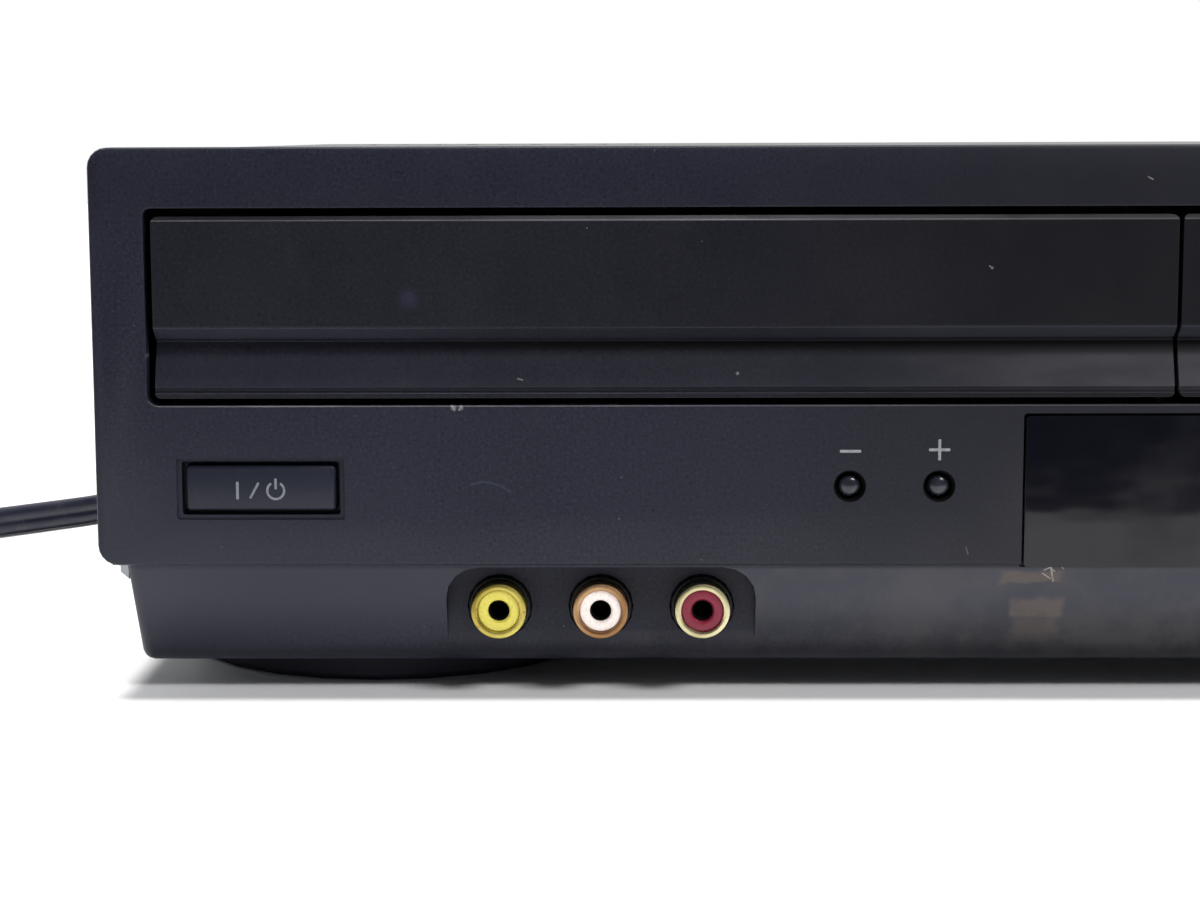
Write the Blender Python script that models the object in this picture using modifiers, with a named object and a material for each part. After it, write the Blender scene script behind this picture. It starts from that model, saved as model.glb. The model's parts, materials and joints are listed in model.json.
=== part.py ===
"""DVD and VHS combination player, modelled at its real size in metres.

X runs to the right seen from the front, Y to the back and Z up. The origin lies on the
surface that the player stands on, under the middle of the case.
"""
import math

import bmesh
import bpy
from mathutils import Matrix, Vector, geometry

# Overall size and general clearances
unit_height = 0.082
left_room = 0.01275
right_room = 0.0080
drive_gap = 0.00575
column_gap = 0.0085
board_column = 0.0490
drum_room = 0.0090
deck_margin = 0.0005
rear_room = 0.0380
fit = 0.0003
running_gap = 0.0006
overrun = 0.002
sink = 0.0006
weld_distance = 0.000005
turn_steps = 24
small_steps = 16
fine_steps = 12
hole_steps = 8
post_steps = 10

# Fascia: the upper block of the front moulding
fascia_bottom = 0.0205
fascia_wall = 0.0025
fascia_return = 0.0060
fascia_edge = 0.0007
fascia_top_radius = 0.0029
fascia_bottom_radius = 0.0030
rim_wall = 0.0018
rim_reach = 0.0120

# Base panel: the lower front, leaning back under the fascia
base_side_inset = 0.0046
base_foot = 0.0044
base_set = 0.0015
base_lean = 0.0065
base_reach = 0.0130
base_wall = 0.0020
base_corner = 0.0018
base_draft = 0.0010

# Door band: the long opening that holds the disc tray's front and the cassette door
band_inset = 0.0080
band_bottom = 0.04435
band_top = 0.0732
band_top_radius = 0.0010
band_bottom_radius = 0.0016
band_chamfer = 0.0002
door_top_gap = 0.0012
door_bottom_gap = 0.00105
door_side_gap = 0.0011
door_parting = 0.0006
door_wall = 0.0020
door_chamfer = 0.0007
door_corner = 0.0009
brow_drop = 0.0163
brow_slope = 0.0021
grip_depth = 0.0027
ramp_end_set = 0.0004
lip_height = 0.0007
lip_set = 0.0001
lip_groove = 0.0006
lip_groove_height = 0.0009
door_overlap = 0.0015

# Display window and the display behind it
window_key_gap = 0.0313
window_bottom = 0.0199
window_top = 0.0427
window_gap = 0.00035
window_thickness = 0.0022
window_ledge = 0.0030
window_frame_wall = 0.0020
window_corner = 0.0005
display_inset = 0.0302
display_height = 0.0130
display_centre_z = 0.0330

# Keys
key_gap = 0.00045
key_flange = 0.0011
key_flange_thickness = 0.0012
key_edge = 0.0004
key_set = 0.0002
key_travel = 0.0010
power_key_set = 0.0244
power_key_z = 0.0321
power_key_width = 0.0220
power_key_height = 0.0066
power_key_gap = 0.0007
power_frame_side = 0.0014
power_frame_top = 0.0012
power_frame_depth = 0.0005
round_key_z = 0.0323
round_key_radius = 0.00145
round_hole_radius = 0.0024
round_key_dome = 0.0008
tracking_down_set = 0.1111
tracking_up_set = 0.1242
transport_width = 0.0170
transport_height = 0.0056
transport_set = 0.0970
transport_space_x = 0.0070
transport_space_z = 0.0034
transport_bottom_z = 0.0282

# Front sockets in their alcove
alcove_set = 0.0513
alcove_width = 0.0463
alcove_top = 0.0199
alcove_radius = 0.0050
alcove_depth = 0.0065
alcove_wall = 0.0020
socket_set = 0.0744
socket_pitch = 0.0152
socket_z = 0.0132
socket_tip_set = 0.0021
socket_radius = 0.00415
socket_wall = 0.0010
socket_hole_radius = 0.0016
socket_hole_depth = 0.0060
insulator_set = 0.0004
collar_radius = 0.0046
collar_proud = 0.0010
jack_block_height = 0.0105
jack_block_side = 0.0022
jack_block_thickness = 0.0036

# Case: cover, chassis pan and rear panel
cover_inset = 0.0008
cover_drop = 0.0005
cover_sheet = 0.0009
cover_radius = 0.0025
cover_foot = 0.0195
cover_overhang = 0.0020
pan_bottom = 0.0135
pan_sheet = 0.0012
pan_shoulder = 0.0185
pan_chamfer = 0.0059
pan_flange_top = 0.0245
rear_sheet = 0.0010
slot_width = 0.0030
slot_length = 0.0240
slot_pitch = 0.0075
top_slot_count = 9
top_slot_left_set = 0.0500
top_slot_right_set = 0.1100
top_slot_rear_set = 0.0525
side_slot_count = 8
side_slot_height = 0.0160
side_slot_z = 0.0450
side_slot_rear_set = 0.1075
pan_slot_count = 6
pan_slot_rear_set = 0.0975
pan_slot_side_set = 0.0830

# Feet
foot_radius = 0.0335
foot_top_radius = 0.0310
foot_side_set = 0.0395
foot_front_set = 0.0467
foot_rear_set = 0.0467
foot_hollow = 0.0030
foot_rim = 0.0045
foot_edge = 0.0010

# Circuit boards
board_thickness = 0.0016
board_lift = 0.0050
post_radius = 0.0035
post_spread = 0.0008
main_board_reach = 0.2080
main_board_front_set = 0.0375
main_board_strip_width = 0.0290
main_board_rear_gap = 0.0055
power_board_set = 0.0320
power_board_width = 0.1030
power_board_front_set = 0.0625
power_board_length = 0.1200
transformer_width = 0.0300
transformer_depth = 0.0260
transformer_height = 0.0145
bulk_capacitor_radius = 0.0065
bulk_capacitor_length = 0.0260
heat_sink_length = 0.0320
heat_sink_height = 0.0135
heat_fin_thickness = 0.0012
heat_fin_pitch = 0.0040
heat_fin_count = 5
chip_height = 0.0020
chip_side = 0.0200
small_capacitor_radius = 0.0040
small_capacitor_height = 0.0110
front_board_inset = 0.0100
front_board_bottom = 0.0235
front_board_top = 0.0425
front_board_set = 0.0130
switch_side = 0.0060
front_post_radius = 0.0022

# Rear sockets
rear_socket_reach = 0.0090
rear_socket_radius = 0.00415
rear_socket_pitch_x = 0.0150
rear_socket_pitch_z = 0.0160
rear_socket_set = 0.0400
rear_socket_z = 0.0300
rear_socket_columns = 5
rear_block_depth = 0.0120
tuner_set = 0.0350
tuner_width = 0.0380
tuner_depth = 0.0420
tuner_height = 0.0400
aerial_radius = 0.0046
aerial_pitch = 0.0190
aerial_z = 0.0330

# Disc drive
loader_front_set = 0.0160
loader_behind = 0.0370
loader_bottom = 0.0400
loader_top = 0.0660
loader_wall = 0.0022
rail_level = 0.0562
rail_sheet = 0.0020
rail_width = 0.0050
loader_bar_depth = 0.0140
loader_bar_height = 0.0060
loader_foot = 0.0120
loader_foot_height = 0.0030
tray_rim = 0.0046
tray_side_gap = 0.0038
tray_lead = 0.0086
tray_tail = 0.0306
tray_thickness = 0.0060
tray_travel = 0.1350
tray_corner = 0.0040
disc_well_radius = 0.0604
disc_well_depth = 0.0022
small_well_radius = 0.0404
small_well_depth = 0.0034
tray_slot_half = 0.0210
tray_slot_front = 0.0230
tray_slot_rear = 0.0700
rack_inset = 0.0060
rack_width = 0.0025
rack_height = 0.0035
rack_lead = 0.0040
gear_teeth = 14
gear_tooth = 0.0009
gear_x_inset = 0.0135
gear_set = 0.0245
pulley_radius = 0.0100
pulley_height = 0.0030
bridge_level = 0.0668
bridge_thickness = 0.0020
bridge_depth = 0.0400
bridge_rib = 0.0030
clamper_hole_radius = 0.0135
clamper_flange = 0.0160
clamper_radius = 0.0126
clamper_drop = 0.0035
clamper_cap = 0.0018
traverse_level = 0.0445
traverse_sheet = 0.0015
traverse_side_gap = 0.0168
traverse_ahead = 0.0220
pickup_end_gap = 0.0070
traverse_window_half = 0.0300
motor_radius = 0.0135
motor_bottom = 0.0390
motor_top = 0.0508
spindle_radius = 0.0012
turntable_radius = 0.0150
turntable_thickness = 0.0020
turntable_cone_radius = 0.0072
turntable_top = 0.0557
rod_radius = 0.0015
rod_offset = 0.0235
rod_z = 0.0490
pickup_half = 0.0200
pickup_length = 0.0280
pickup_bottom = 0.0448
pickup_top = 0.0525
pickup_travel = 0.0280
pickup_rest_gap = 0.0030
lens_radius = 0.0032
lens_height = 0.0012

# Tape drive
deck_level = 0.0290
deck_sheet = 0.0015
deck_edge = 0.0030
deck_front_set = 0.0320
deck_post_inset = 0.0090
cassette_half = 0.0940
cassette_height = 0.0250
cassette_clear = 0.0006
basket_sheet = 0.0010
basket_bottom = 0.0452
basket_front_set = 0.0365
basket_length = 0.0500
basket_ledge = 0.0130
basket_drop = 0.0140
basket_travel = 0.0540
basket_window = 0.0260
basket_pin_radius = 0.0018
yoke_sheet = 0.0012
yoke_gap = 0.0005
yoke_level = 0.0745
yoke_bar = 0.0140
yoke_front_inset = 0.0030
yoke_length = 0.0440
frame_sheet = 0.0012
frame_level = 0.0763
frame_bar = 0.0120
frame_window_height = 0.0140
frame_window_length = 0.0500
reel_spacing = 0.0920
reel_set = 0.0860
reel_table_radius = 0.0150
reel_table_thickness = 0.0030
reel_hub_radius = 0.0045
reel_height = 0.0150
reel_fin = 0.0012
reel_fin_height = 0.0080
reel_pin_radius = 0.0015
drum_radius = 0.0310
drum_x_offset = -0.0080
drum_tilt = 6.0
drum_base_height = 0.0200
drum_height = 0.0185
drum_flange = 0.0020
drum_flange_rim = 0.0025
drum_gap = 0.0004
drum_hub_radius = 0.0110
drum_hub_height = 0.0030
drum_shaft_radius = 0.0040
drum_shaft_height = 0.0120
capstan_x_offset = 0.0480
capstan_front = 0.0250
capstan_radius = 0.0015
capstan_top = 0.0520
flywheel_radius = 0.0190
flywheel_thickness = 0.0050
flywheel_gap = 0.0012
pinch_pivot_x_offset = 0.0720
pinch_pivot_front = 0.0130
pinch_reach = 0.0210
pinch_arm_width = 0.0080
pinch_arm_thickness = 0.0020
pinch_arm_level = 0.0350
pinch_roller_radius = 0.0060
pinch_roller_height = 0.0140
pinch_angle = 160.0
head_x_offset = 0.0430
head_behind = 0.0050
head_width = 0.0120
head_depth = 0.0080
head_height = 0.0240

# Door hinge
hinge_set = 0.0049
hinge_rise = 0.0033
hinge_radius = 0.0010
hinge_inset = 0.0060
hinge_ear = 0.0020
hinge_lug = 0.0020
hinge_eye = 0.0019

# Mains cord: where it leaves, how it is wound and what it ends in
cord_diameter = 0.0060
cord_exit_x = -0.1850
cord_exit_z = 0.0300
relief_root_radius = 0.0065
relief_flange_radius = 0.0090
relief_flange = 0.0030
relief_tip_wall = 0.0012
cord_lift = 0.0002
cord_spacing = 0.0130
coil_centre_x = -0.3222
coil_centre_y = 0.0210
coil_radius = 0.0425
coil_pitch = 0.0066
coil_start_angle = -42.0
coil_turns = 5.425
coil_steps = 24
tail_length = 0.0240
plug_length = 0.0280
plug_width = 0.0200
plug_height = 0.0150
plug_neck = 0.0090
blade_length = 0.0165
blade_width = 0.0063
blade_thickness = 0.0015
blade_pitch = 0.0127

# The free cord from the strain relief to the coil, over the table
cord_route = [
    (-0.1850, 0.1538, 0.0300), (-0.1850, 0.1600, 0.0300), (-0.1856, 0.1750, 0.0275),
    (-0.1895, 0.1880, 0.0185), (-0.1980, 0.1985, 0.0088), (-0.2105, 0.2025, 0.0036),
    (-0.2240, 0.1975, 0.0032), (-0.2330, 0.1840, 0.0032), (-0.2355, 0.1600, 0.0032),
    (-0.2345, 0.1300, 0.0032), (-0.2345, 0.1000, 0.0032), (-0.2380, 0.0720, 0.0032),
    (-0.2445, 0.0500, 0.0032), (-0.2525, 0.0345, 0.0032), (-0.2610, 0.0245, 0.0032),
    (-0.2700, 0.0150, 0.0032), (-0.2800, 0.0036, 0.0032),
]

# Places worked out from the sizes above: the drives and boards set the case's size
basket_inner_half = cassette_half + cassette_clear
basket_half = basket_inner_half + basket_sheet
yoke_inner_half = basket_half + yoke_gap
yoke_half = yoke_inner_half + yoke_sheet
frame_inner_half = yoke_half + yoke_gap
frame_half = frame_inner_half + frame_sheet
deck_half = frame_half + deck_edge
cassette_door_width = 2 * (deck_half + door_overlap)
tray_half = disc_well_radius + tray_rim
loader_half = tray_half + tray_side_gap + loader_wall
drum_flange_radius = drum_radius + drum_flange_rim
drum_set = basket_front_set + basket_length + basket_travel + drum_flange_radius + drum_room
deck_rear_set = drum_set + drum_flange_radius + deck_margin
unit_width = (left_room + 2 * loader_half + drive_gap + 2 * deck_half + column_gap + board_column
              + right_room)
unit_depth = deck_rear_set + rear_room + rear_sheet + rear_socket_reach
front_y = -unit_depth / 2
rear_y = unit_depth / 2
half_width = unit_width / 2
loader_x = left_room + loader_half - half_width
bay_x = loader_x + loader_half + drive_gap + deck_half
rear_face_y = rear_y - rear_socket_reach
rear_inner_y = rear_face_y - rear_sheet
cover_half = half_width - cover_inset
cover_top = unit_height - cover_drop
cover_inner_half = cover_half - cover_sheet
cover_inner_top = cover_top - cover_sheet
case_front_y = front_y + fascia_return + fit
base_half = half_width - base_side_inset
pan_half = cover_inner_half - fit
pan_top = pan_bottom + pan_sheet
band_half = half_width - band_inset
door_top = band_top - door_top_gap
door_bottom = band_bottom + door_bottom_gap
door_depth = grip_depth + door_wall
door_left = bay_x - cassette_door_width / 2
door_right = door_left + cassette_door_width
tray_front_left = -band_half + door_side_gap
tray_front_right = door_left - door_parting
blank_left = door_right + door_parting
brow_z = door_top - brow_drop
grip_top = brow_z - brow_slope
board_level = pan_top + board_lift
board_top = board_level + board_thickness
main_board_right = half_width - right_room
main_board_step = main_board_right - board_column
main_board_left = main_board_step - main_board_reach
main_board_front = front_y + main_board_front_set
main_board_rear = rear_inner_y - main_board_rear_gap
main_board_strip = main_board_rear - main_board_strip_width
power_board_left = power_board_set - half_width
power_board_right = power_board_left + power_board_width
power_board_front = front_y + power_board_front_set
power_board_rear = power_board_front + power_board_length
power_key_x = power_key_set - half_width
tracking_down_x = tracking_down_set - half_width
tracking_up_x = tracking_up_set - half_width
transport_first_x = half_width - transport_set
window_half = transport_first_x - transport_width / 2 - window_key_gap
display_half = window_half - display_inset
transport_pitch_x = transport_width + transport_space_x
transport_top_z = transport_bottom_z + transport_height + transport_space_z
alcove_left = alcove_set - half_width
alcove_right = alcove_left + alcove_width
socket_centre_x = socket_set - half_width
foot_x = half_width - foot_side_set
tuner_x = half_width - tuner_set
rear_socket_first_x = main_board_left + rear_socket_set
alcove_back_y = front_y + alcove_depth
jack_front_y = alcove_back_y + alcove_wall + fit
socket_tip_y = front_y + socket_tip_set
loader_front_y = front_y + loader_front_set
tray_front_y = front_y + door_depth + fit
disc_y = tray_front_y + tray_lead + disc_well_radius
tray_rear_y = disc_y + disc_well_radius + tray_tail
loader_rear_y = tray_rear_y + loader_behind
tray_bottom = rail_level + fit
tray_top = tray_bottom + tray_thickness
traverse_front_y = disc_y - traverse_ahead
traverse_behind = (motor_radius + 3 * rod_radius + pickup_rest_gap + pickup_length + pickup_travel
                   + pickup_end_gap + loader_foot)
traverse_half = loader_half - loader_wall - traverse_side_gap
front_board_half = half_width - front_board_inset
deck_front_y = front_y + deck_front_set
deck_rear_y = front_y + deck_rear_set
deck_bottom = deck_level - deck_sheet
basket_front_y = front_y + basket_front_set
basket_rear_y = basket_front_y + basket_length
basket_top = basket_bottom + 2 * basket_sheet + cassette_height + 2 * cassette_clear
reel_y = front_y + reel_set
drum_x = bay_x + drum_x_offset
drum_y = front_y + drum_set
capstan_x = bay_x + capstan_x_offset
capstan_y = drum_y - capstan_front
pinch_pivot_x = bay_x + pinch_pivot_x_offset
pinch_pivot_y = drum_y - pinch_pivot_front
hinge_y = front_y + hinge_set
hinge_z = door_top + hinge_rise
front_board_y = front_y + front_board_set
cord_radius = cord_diameter / 2

socket_colours = (("yellow", -socket_pitch), ("white", 0.0), ("red", socket_pitch))
transport_keys = (
    ("open_close_button", 0, transport_top_z),
    ("stop_button", 1, transport_top_z),
    ("tape_eject_button", 2, transport_top_z),
    ("rewind_button", 0, transport_bottom_z),
    ("play_button", 1, transport_bottom_z),
    ("forward_button", 2, transport_bottom_z),
)

for leftover in list(bpy.data.objects):
    bpy.data.objects.remove(leftover, do_unlink=True)
parts = bpy.data.collections.new("dvd_vcr_combo_player")
tools = bpy.data.collections.new("cutters")
bpy.context.scene.collection.children.link(parts)
bpy.context.scene.collection.children.link(tools)

FLAT = Matrix.Identity(4)
FACING = Matrix(((1, 0, 0, 0), (0, 0, -1, 0), (0, 1, 0, 0), (0, 0, 0, 1)))
SIDEWAYS = Matrix(((0, 0, 1, 0), (1, 0, 0, 0), (0, 1, 0, 0), (0, 0, 0, 1)))
ALONG = {"X": Matrix.Rotation(math.pi / 2, 4, "Y"), "Y": Matrix.Rotation(-math.pi / 2, 4, "X"),
         "Z": Matrix.Identity(4)}


def material(name, colour, roughness, metallic=0.0):
    """Return the named Principled material, made once."""
    found = bpy.data.materials.get(name)
    if found:
        return found
    made = bpy.data.materials.new(name)
    made.use_nodes = True
    made.diffuse_color = (*colour, 1.0)
    shader = made.node_tree.nodes["Principled BSDF"]
    shader.inputs["Base Color"].default_value = (*colour, 1.0)
    shader.inputs["Roughness"].default_value = roughness
    shader.inputs["Metallic"].default_value = metallic
    return made


def charcoal():
    return material("charcoal_plastic", (0.025, 0.026, 0.032), 0.5)


def black_plastic():
    return material("black_plastic", (0.012, 0.012, 0.014), 0.45)


def grey_plastic():
    return material("grey_plastic", (0.30, 0.30, 0.30), 0.5)


def white_plastic():
    return material("white_plastic", (0.75, 0.74, 0.70), 0.45)


def painted_steel():
    return material("painted_steel", (0.03, 0.03, 0.034), 0.4, 0.3)


def galvanised():
    return material("galvanised_steel", (0.42, 0.43, 0.44), 0.42, 0.9)


def bright_steel():
    return material("bright_steel", (0.6, 0.6, 0.6), 0.25, 1.0)


def circuit_board():
    return material("circuit_board", (0.16, 0.11, 0.04), 0.6)


def new_object(name, mesh, is_tool=False):
    """Place a mesh in the parts, or as a hidden wire-drawn cutter or joined form."""
    obj = bpy.data.objects.new(name, mesh)
    (tools if is_tool else parts).objects.link(obj)
    if is_tool:
        obj.hide_render = True
        obj.display_type = "WIRE"
    return obj


def from_bmesh(name, bm, is_tool=False):
    mesh = bpy.data.meshes.new(name)
    bm.normal_update()
    bm.to_mesh(mesh)
    bm.free()
    return new_object(name, mesh, is_tool)


def smooth(obj, angle=35.0):
    """Shade round forms smooth and keep their edges sharp."""
    obj.data.shade_smooth()
    obj.data.set_sharp_from_angle(angle=math.radians(angle))
    return obj


def finish_part(obj, surface, sleek=True):
    obj.data.materials.clear()
    obj.data.materials.append(surface)
    return smooth(obj) if sleek else obj


def edges_along(bm, axis):
    """Return the edges that run along X, Y or Z."""
    way = "XYZ".index(axis)
    found = []
    for edge in bm.edges:
        run = edge.verts[1].co - edge.verts[0].co
        if abs(run[way]) > 0.99 * run.length:
            found.append(edge)
    return found


def box(name, x, y, z, is_tool=False, round_along=None, radius=0.0, segments=3):
    """Make a box from its ranges, its edges along one axis or all of them rounded."""
    bm = bmesh.new()
    size = Matrix.Diagonal((x[1] - x[0], y[1] - y[0], z[1] - z[0], 1))
    place = Matrix.Translation(((x[0] + x[1]) / 2, (y[0] + y[1]) / 2, (z[0] + z[1]) / 2))
    bmesh.ops.create_cube(bm, size=1, matrix=place @ size)
    if radius:
        edges = bm.edges[:] if round_along == "ALL" else edges_along(bm, round_along)
        bmesh.ops.bevel(bm, geom=edges, offset=radius, segments=segments, profile=0.5,
                        affect="EDGES", clamp_overlap=True)
    return from_bmesh(name, bm, is_tool)


def rod(name, start, length, radius, axis="Z", tip=None, steps=small_steps, is_tool=False):
    """Make a cylinder or cone from the centre of its first face."""
    bm = bmesh.new()
    way = ALONG[axis] @ Vector((0, 0, length / 2))
    place = Matrix.Translation(Vector(start) + way) @ ALONG[axis]
    bmesh.ops.create_cone(bm, cap_ends=True, segments=steps, radius1=radius,
                          radius2=radius if tip is None else tip, depth=length, matrix=place)
    return from_bmesh(name, bm, is_tool)


def loft(name, rings, is_tool=False):
    """Bridge closed rings of as many points each, and cap both ends."""
    bm = bmesh.new()
    loops = [[bm.verts.new(point) for point in ring] for ring in rings]
    count = len(loops[0])
    for first, second in zip(loops, loops[1:]):
        for i in range(count):
            j = (i + 1) % count
            bm.faces.new((first[i], first[j], second[j], second[i]))
    bm.faces.new(list(reversed(loops[0])))
    bm.faces.new(loops[-1])
    bmesh.ops.recalc_face_normals(bm, faces=bm.faces)
    return from_bmesh(name, bm, is_tool)


def as_mesh(curve, name, place, is_tool):
    """Turn a curve object into a welded mesh object and remove the curve."""
    bpy.context.view_layer.update()
    mesh = bpy.data.meshes.new_from_object(
        curve.evaluated_get(bpy.context.evaluated_depsgraph_get()))
    mesh.name = name
    mesh.transform(place @ curve.matrix_world)
    bpy.data.objects.remove(curve, do_unlink=True)
    bm = bmesh.new()
    bm.from_mesh(mesh)
    bmesh.ops.remove_doubles(bm, verts=bm.verts, dist=weld_distance)
    bmesh.ops.recalc_face_normals(bm, faces=bm.faces)
    bm.to_mesh(mesh)
    bm.free()
    return new_object(name, mesh, is_tool)


def plate(name, outlines, near, far, plane=FLAT, is_tool=False):
    """Extrude a flat outline, and holes within it, from near to far across its plane."""
    curve = bpy.data.curves.new(name, "CURVE")
    curve.dimensions = "2D"
    curve.fill_mode = "BOTH"
    curve.extrude = abs(far - near) / 2
    for outline in outlines:
        spline = curve.splines.new("POLY")
        spline.points.add(len(outline) - 1)
        for point, (u, v) in zip(spline.points, outline):
            point.co = (u, v, 0, 1)
        spline.use_cyclic_u = True
    flat = bpy.data.objects.new(name, curve)
    parts.objects.link(flat)
    middle = (near + far) / 2
    lift = Matrix.Translation((0, 0, -middle if plane is FACING else middle))
    return as_mesh(flat, name, plane @ lift, is_tool)


def turned(name, profile, steps=turn_steps, is_tool=False, ring=False):
    """Turn a profile of (radius, height), top to bottom on its outer side, about Z."""
    mesh = bpy.data.meshes.new(name)
    count = len(profile)
    edges = [(i, i + 1) for i in range(count - 1)] + ([(count - 1, 0)] if ring else [])
    mesh.from_pydata([(radius, 0, height) for radius, height in profile], edges, [])
    obj = new_object(name, mesh, is_tool)
    screw = obj.modifiers.new("turn", "SCREW")
    screw.steps = steps
    screw.render_steps = steps
    screw.use_merge_vertices = True
    screw.merge_threshold = weld_distance
    return obj


def set_turned(obj, place):
    """Bake a turned form and move it to its place."""
    bpy.context.view_layer.update()
    mesh = bpy.data.meshes.new_from_object(
        obj.evaluated_get(bpy.context.evaluated_depsgraph_get()))
    obj.modifiers.clear()
    obj.data = mesh
    mesh.transform(place)
    return obj


def cut(target, *cutters):
    for cutter in cutters:
        change = target.modifiers.new("cut", "BOOLEAN")
        change.operation = "DIFFERENCE"
        change.object = cutter
    return target


def join(target, *forms):
    for form in forms:
        change = target.modifiers.new("join", "BOOLEAN")
        change.operation = "UNION"
        change.object = form
    return target


def together(name, forms):
    """Gather separate forms that don't touch into one cutter or one joined form."""
    bm = bmesh.new()
    for form in forms:
        form.data.transform(form.matrix_basis)
        bm.from_mesh(form.data)
        bpy.data.objects.remove(form, do_unlink=True)
    return from_bmesh(name, bm, True)


def settle(obj):
    """Apply the modifiers, so that the piece's origin can be set."""
    bpy.context.view_layer.update()
    mesh = bpy.data.meshes.new_from_object(
        obj.evaluated_get(bpy.context.evaluated_depsgraph_get()))
    obj.modifiers.clear()
    obj.data = mesh
    return obj


def pivot(obj, point):
    """Put a moving piece's origin on its joint's axis."""
    settle(obj)
    obj.data.transform(Matrix.Translation(-Vector(point)))
    obj.location = point
    return obj


def arc(centre, radius, start, end, steps=4):
    """Points of an arc in degrees, both ends included."""
    points = []
    for i in range(steps + 1):
        angle = math.radians(start + (end - start) * i / steps)
        points.append((centre[0] + radius * math.cos(angle), centre[1] + radius * math.sin(angle)))
    return points


def rectangle(u, v):
    return [(u[0], v[0]), (u[1], v[0]), (u[1], v[1]), (u[0], v[1])]


def rounded(u, v, low_radius, high_radius, steps=4):
    """A rectangle whose lower and upper corners have their own radii."""
    low, high = low_radius, high_radius
    return (arc((u[1] - low, v[0] + low), low, -90, 0, steps)
            + arc((u[1] - high, v[1] - high), high, 0, 90, steps)
            + arc((u[0] + high, v[1] - high), high, 90, 180, steps)
            + arc((u[0] + low, v[0] + low), low, 180, 270, steps))


def circle(centre, radius, steps=small_steps):
    return arc(centre, radius, 0, 360 - 360 / steps, steps - 1)


def sheet(path, thickness):
    """Outline of a bent sheet: the path, and its offset to the left of the way it runs."""
    offset = []
    for i, point in enumerate(path):
        here = Vector(point)
        before = Vector(path[i - 1]) if i else None
        after = Vector(path[i + 1]) if i + 1 < len(path) else None
        ways = [(a - b).normalized() for a, b in ((here, before), (after, here)) if a and b]
        sides = [Vector((-way.y, way.x)) for way in ways]
        mean = sum(sides, Vector((0, 0))).normalized()
        offset.append(tuple(here + mean * thickness / mean.dot(sides[0])))
    return path + offset[::-1]


def door_outline():
    """The section of both doors: flat face, brow, finger ramp, groove and lip, as (y, z)."""
    lip_top = door_bottom + lip_height
    face = [(door_chamfer, door_top), (0, door_top - door_chamfer), (0, brow_z),
            (grip_depth, grip_top), (ramp_end_set, lip_top + lip_groove_height),
            (lip_set + lip_groove, lip_top + lip_groove_height * 2 / 3),
            (lip_set + lip_groove, lip_top + lip_groove_height / 3), (lip_set, lip_top),
            (lip_set, door_bottom), (door_depth, door_bottom), (door_depth, door_top)]
    return [(front_y + depth, z) for depth, z in face]


def door_corners(left, right):
    """Slips that round the four corners of a door, seen from the front."""
    slips = []
    for side, up, start in ((1, 1, 0), (-1, 1, 90), (-1, -1, 180), (1, -1, 270)):
        x, z = (right if side > 0 else left), (door_top if up > 0 else door_bottom)
        turn = arc((x - side * door_corner, z - up * door_corner), door_corner, start, start + 90, 3)
        ends = [turn[0], turn[-1]]
        along = [end for end in ends if abs(end[0] - x) < weld_distance][0]
        above = [end for end in ends if end is not along][0]
        beyond = [(x + side * overrun, along[1]), (x + side * overrun, z + up * overrun),
                  (above[0], z + up * overrun)]
        outline = turn + (beyond[::-1] if turn[0] is along else beyond)
        slips.append(plate("door_slip", [outline], front_y - overrun,
                           front_y + door_depth + overrun, FACING, True))
    return together("door_corners", slips)


def door_pocket(name, left, right):
    """The hollow behind a door's flat face."""
    return box(name, (left + door_wall, right - door_wall),
               (front_y + door_wall, front_y + door_depth + overrun),
               (brow_z + door_wall, door_top - door_wall), True)


def key_places():
    """Name, centre, width and height of each flat key."""
    keys = [("power_button", power_key_x, power_key_z, power_key_width, power_key_height)]
    for name, column, z in transport_keys:
        x = transport_first_x + column * transport_pitch_x
        keys.append((name, x, z, transport_width, transport_height))
    return keys


def round_key_places():
    return [("tracking_down_button", tracking_down_x), ("tracking_up_button", tracking_up_x)]


def front_post_places():
    """Bosses that carry the front board, between the keys."""
    low = front_board_bottom + 2 * front_post_radius
    power_side = power_key_x + power_key_width / 2 + 3 * front_post_radius
    return [(power_side, low), ((power_side + tracking_down_x) / 2, low),
            (window_half + 4 * front_post_radius, low),
            (front_board_half - 2 * front_post_radius, low)]


def hinge_ears():
    """X ranges of the two ears that carry the cassette door's pins."""
    left = door_left + hinge_inset
    right = door_right - hinge_inset
    return [(left, left + hinge_ear), (right - hinge_ear, right)]


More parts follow.
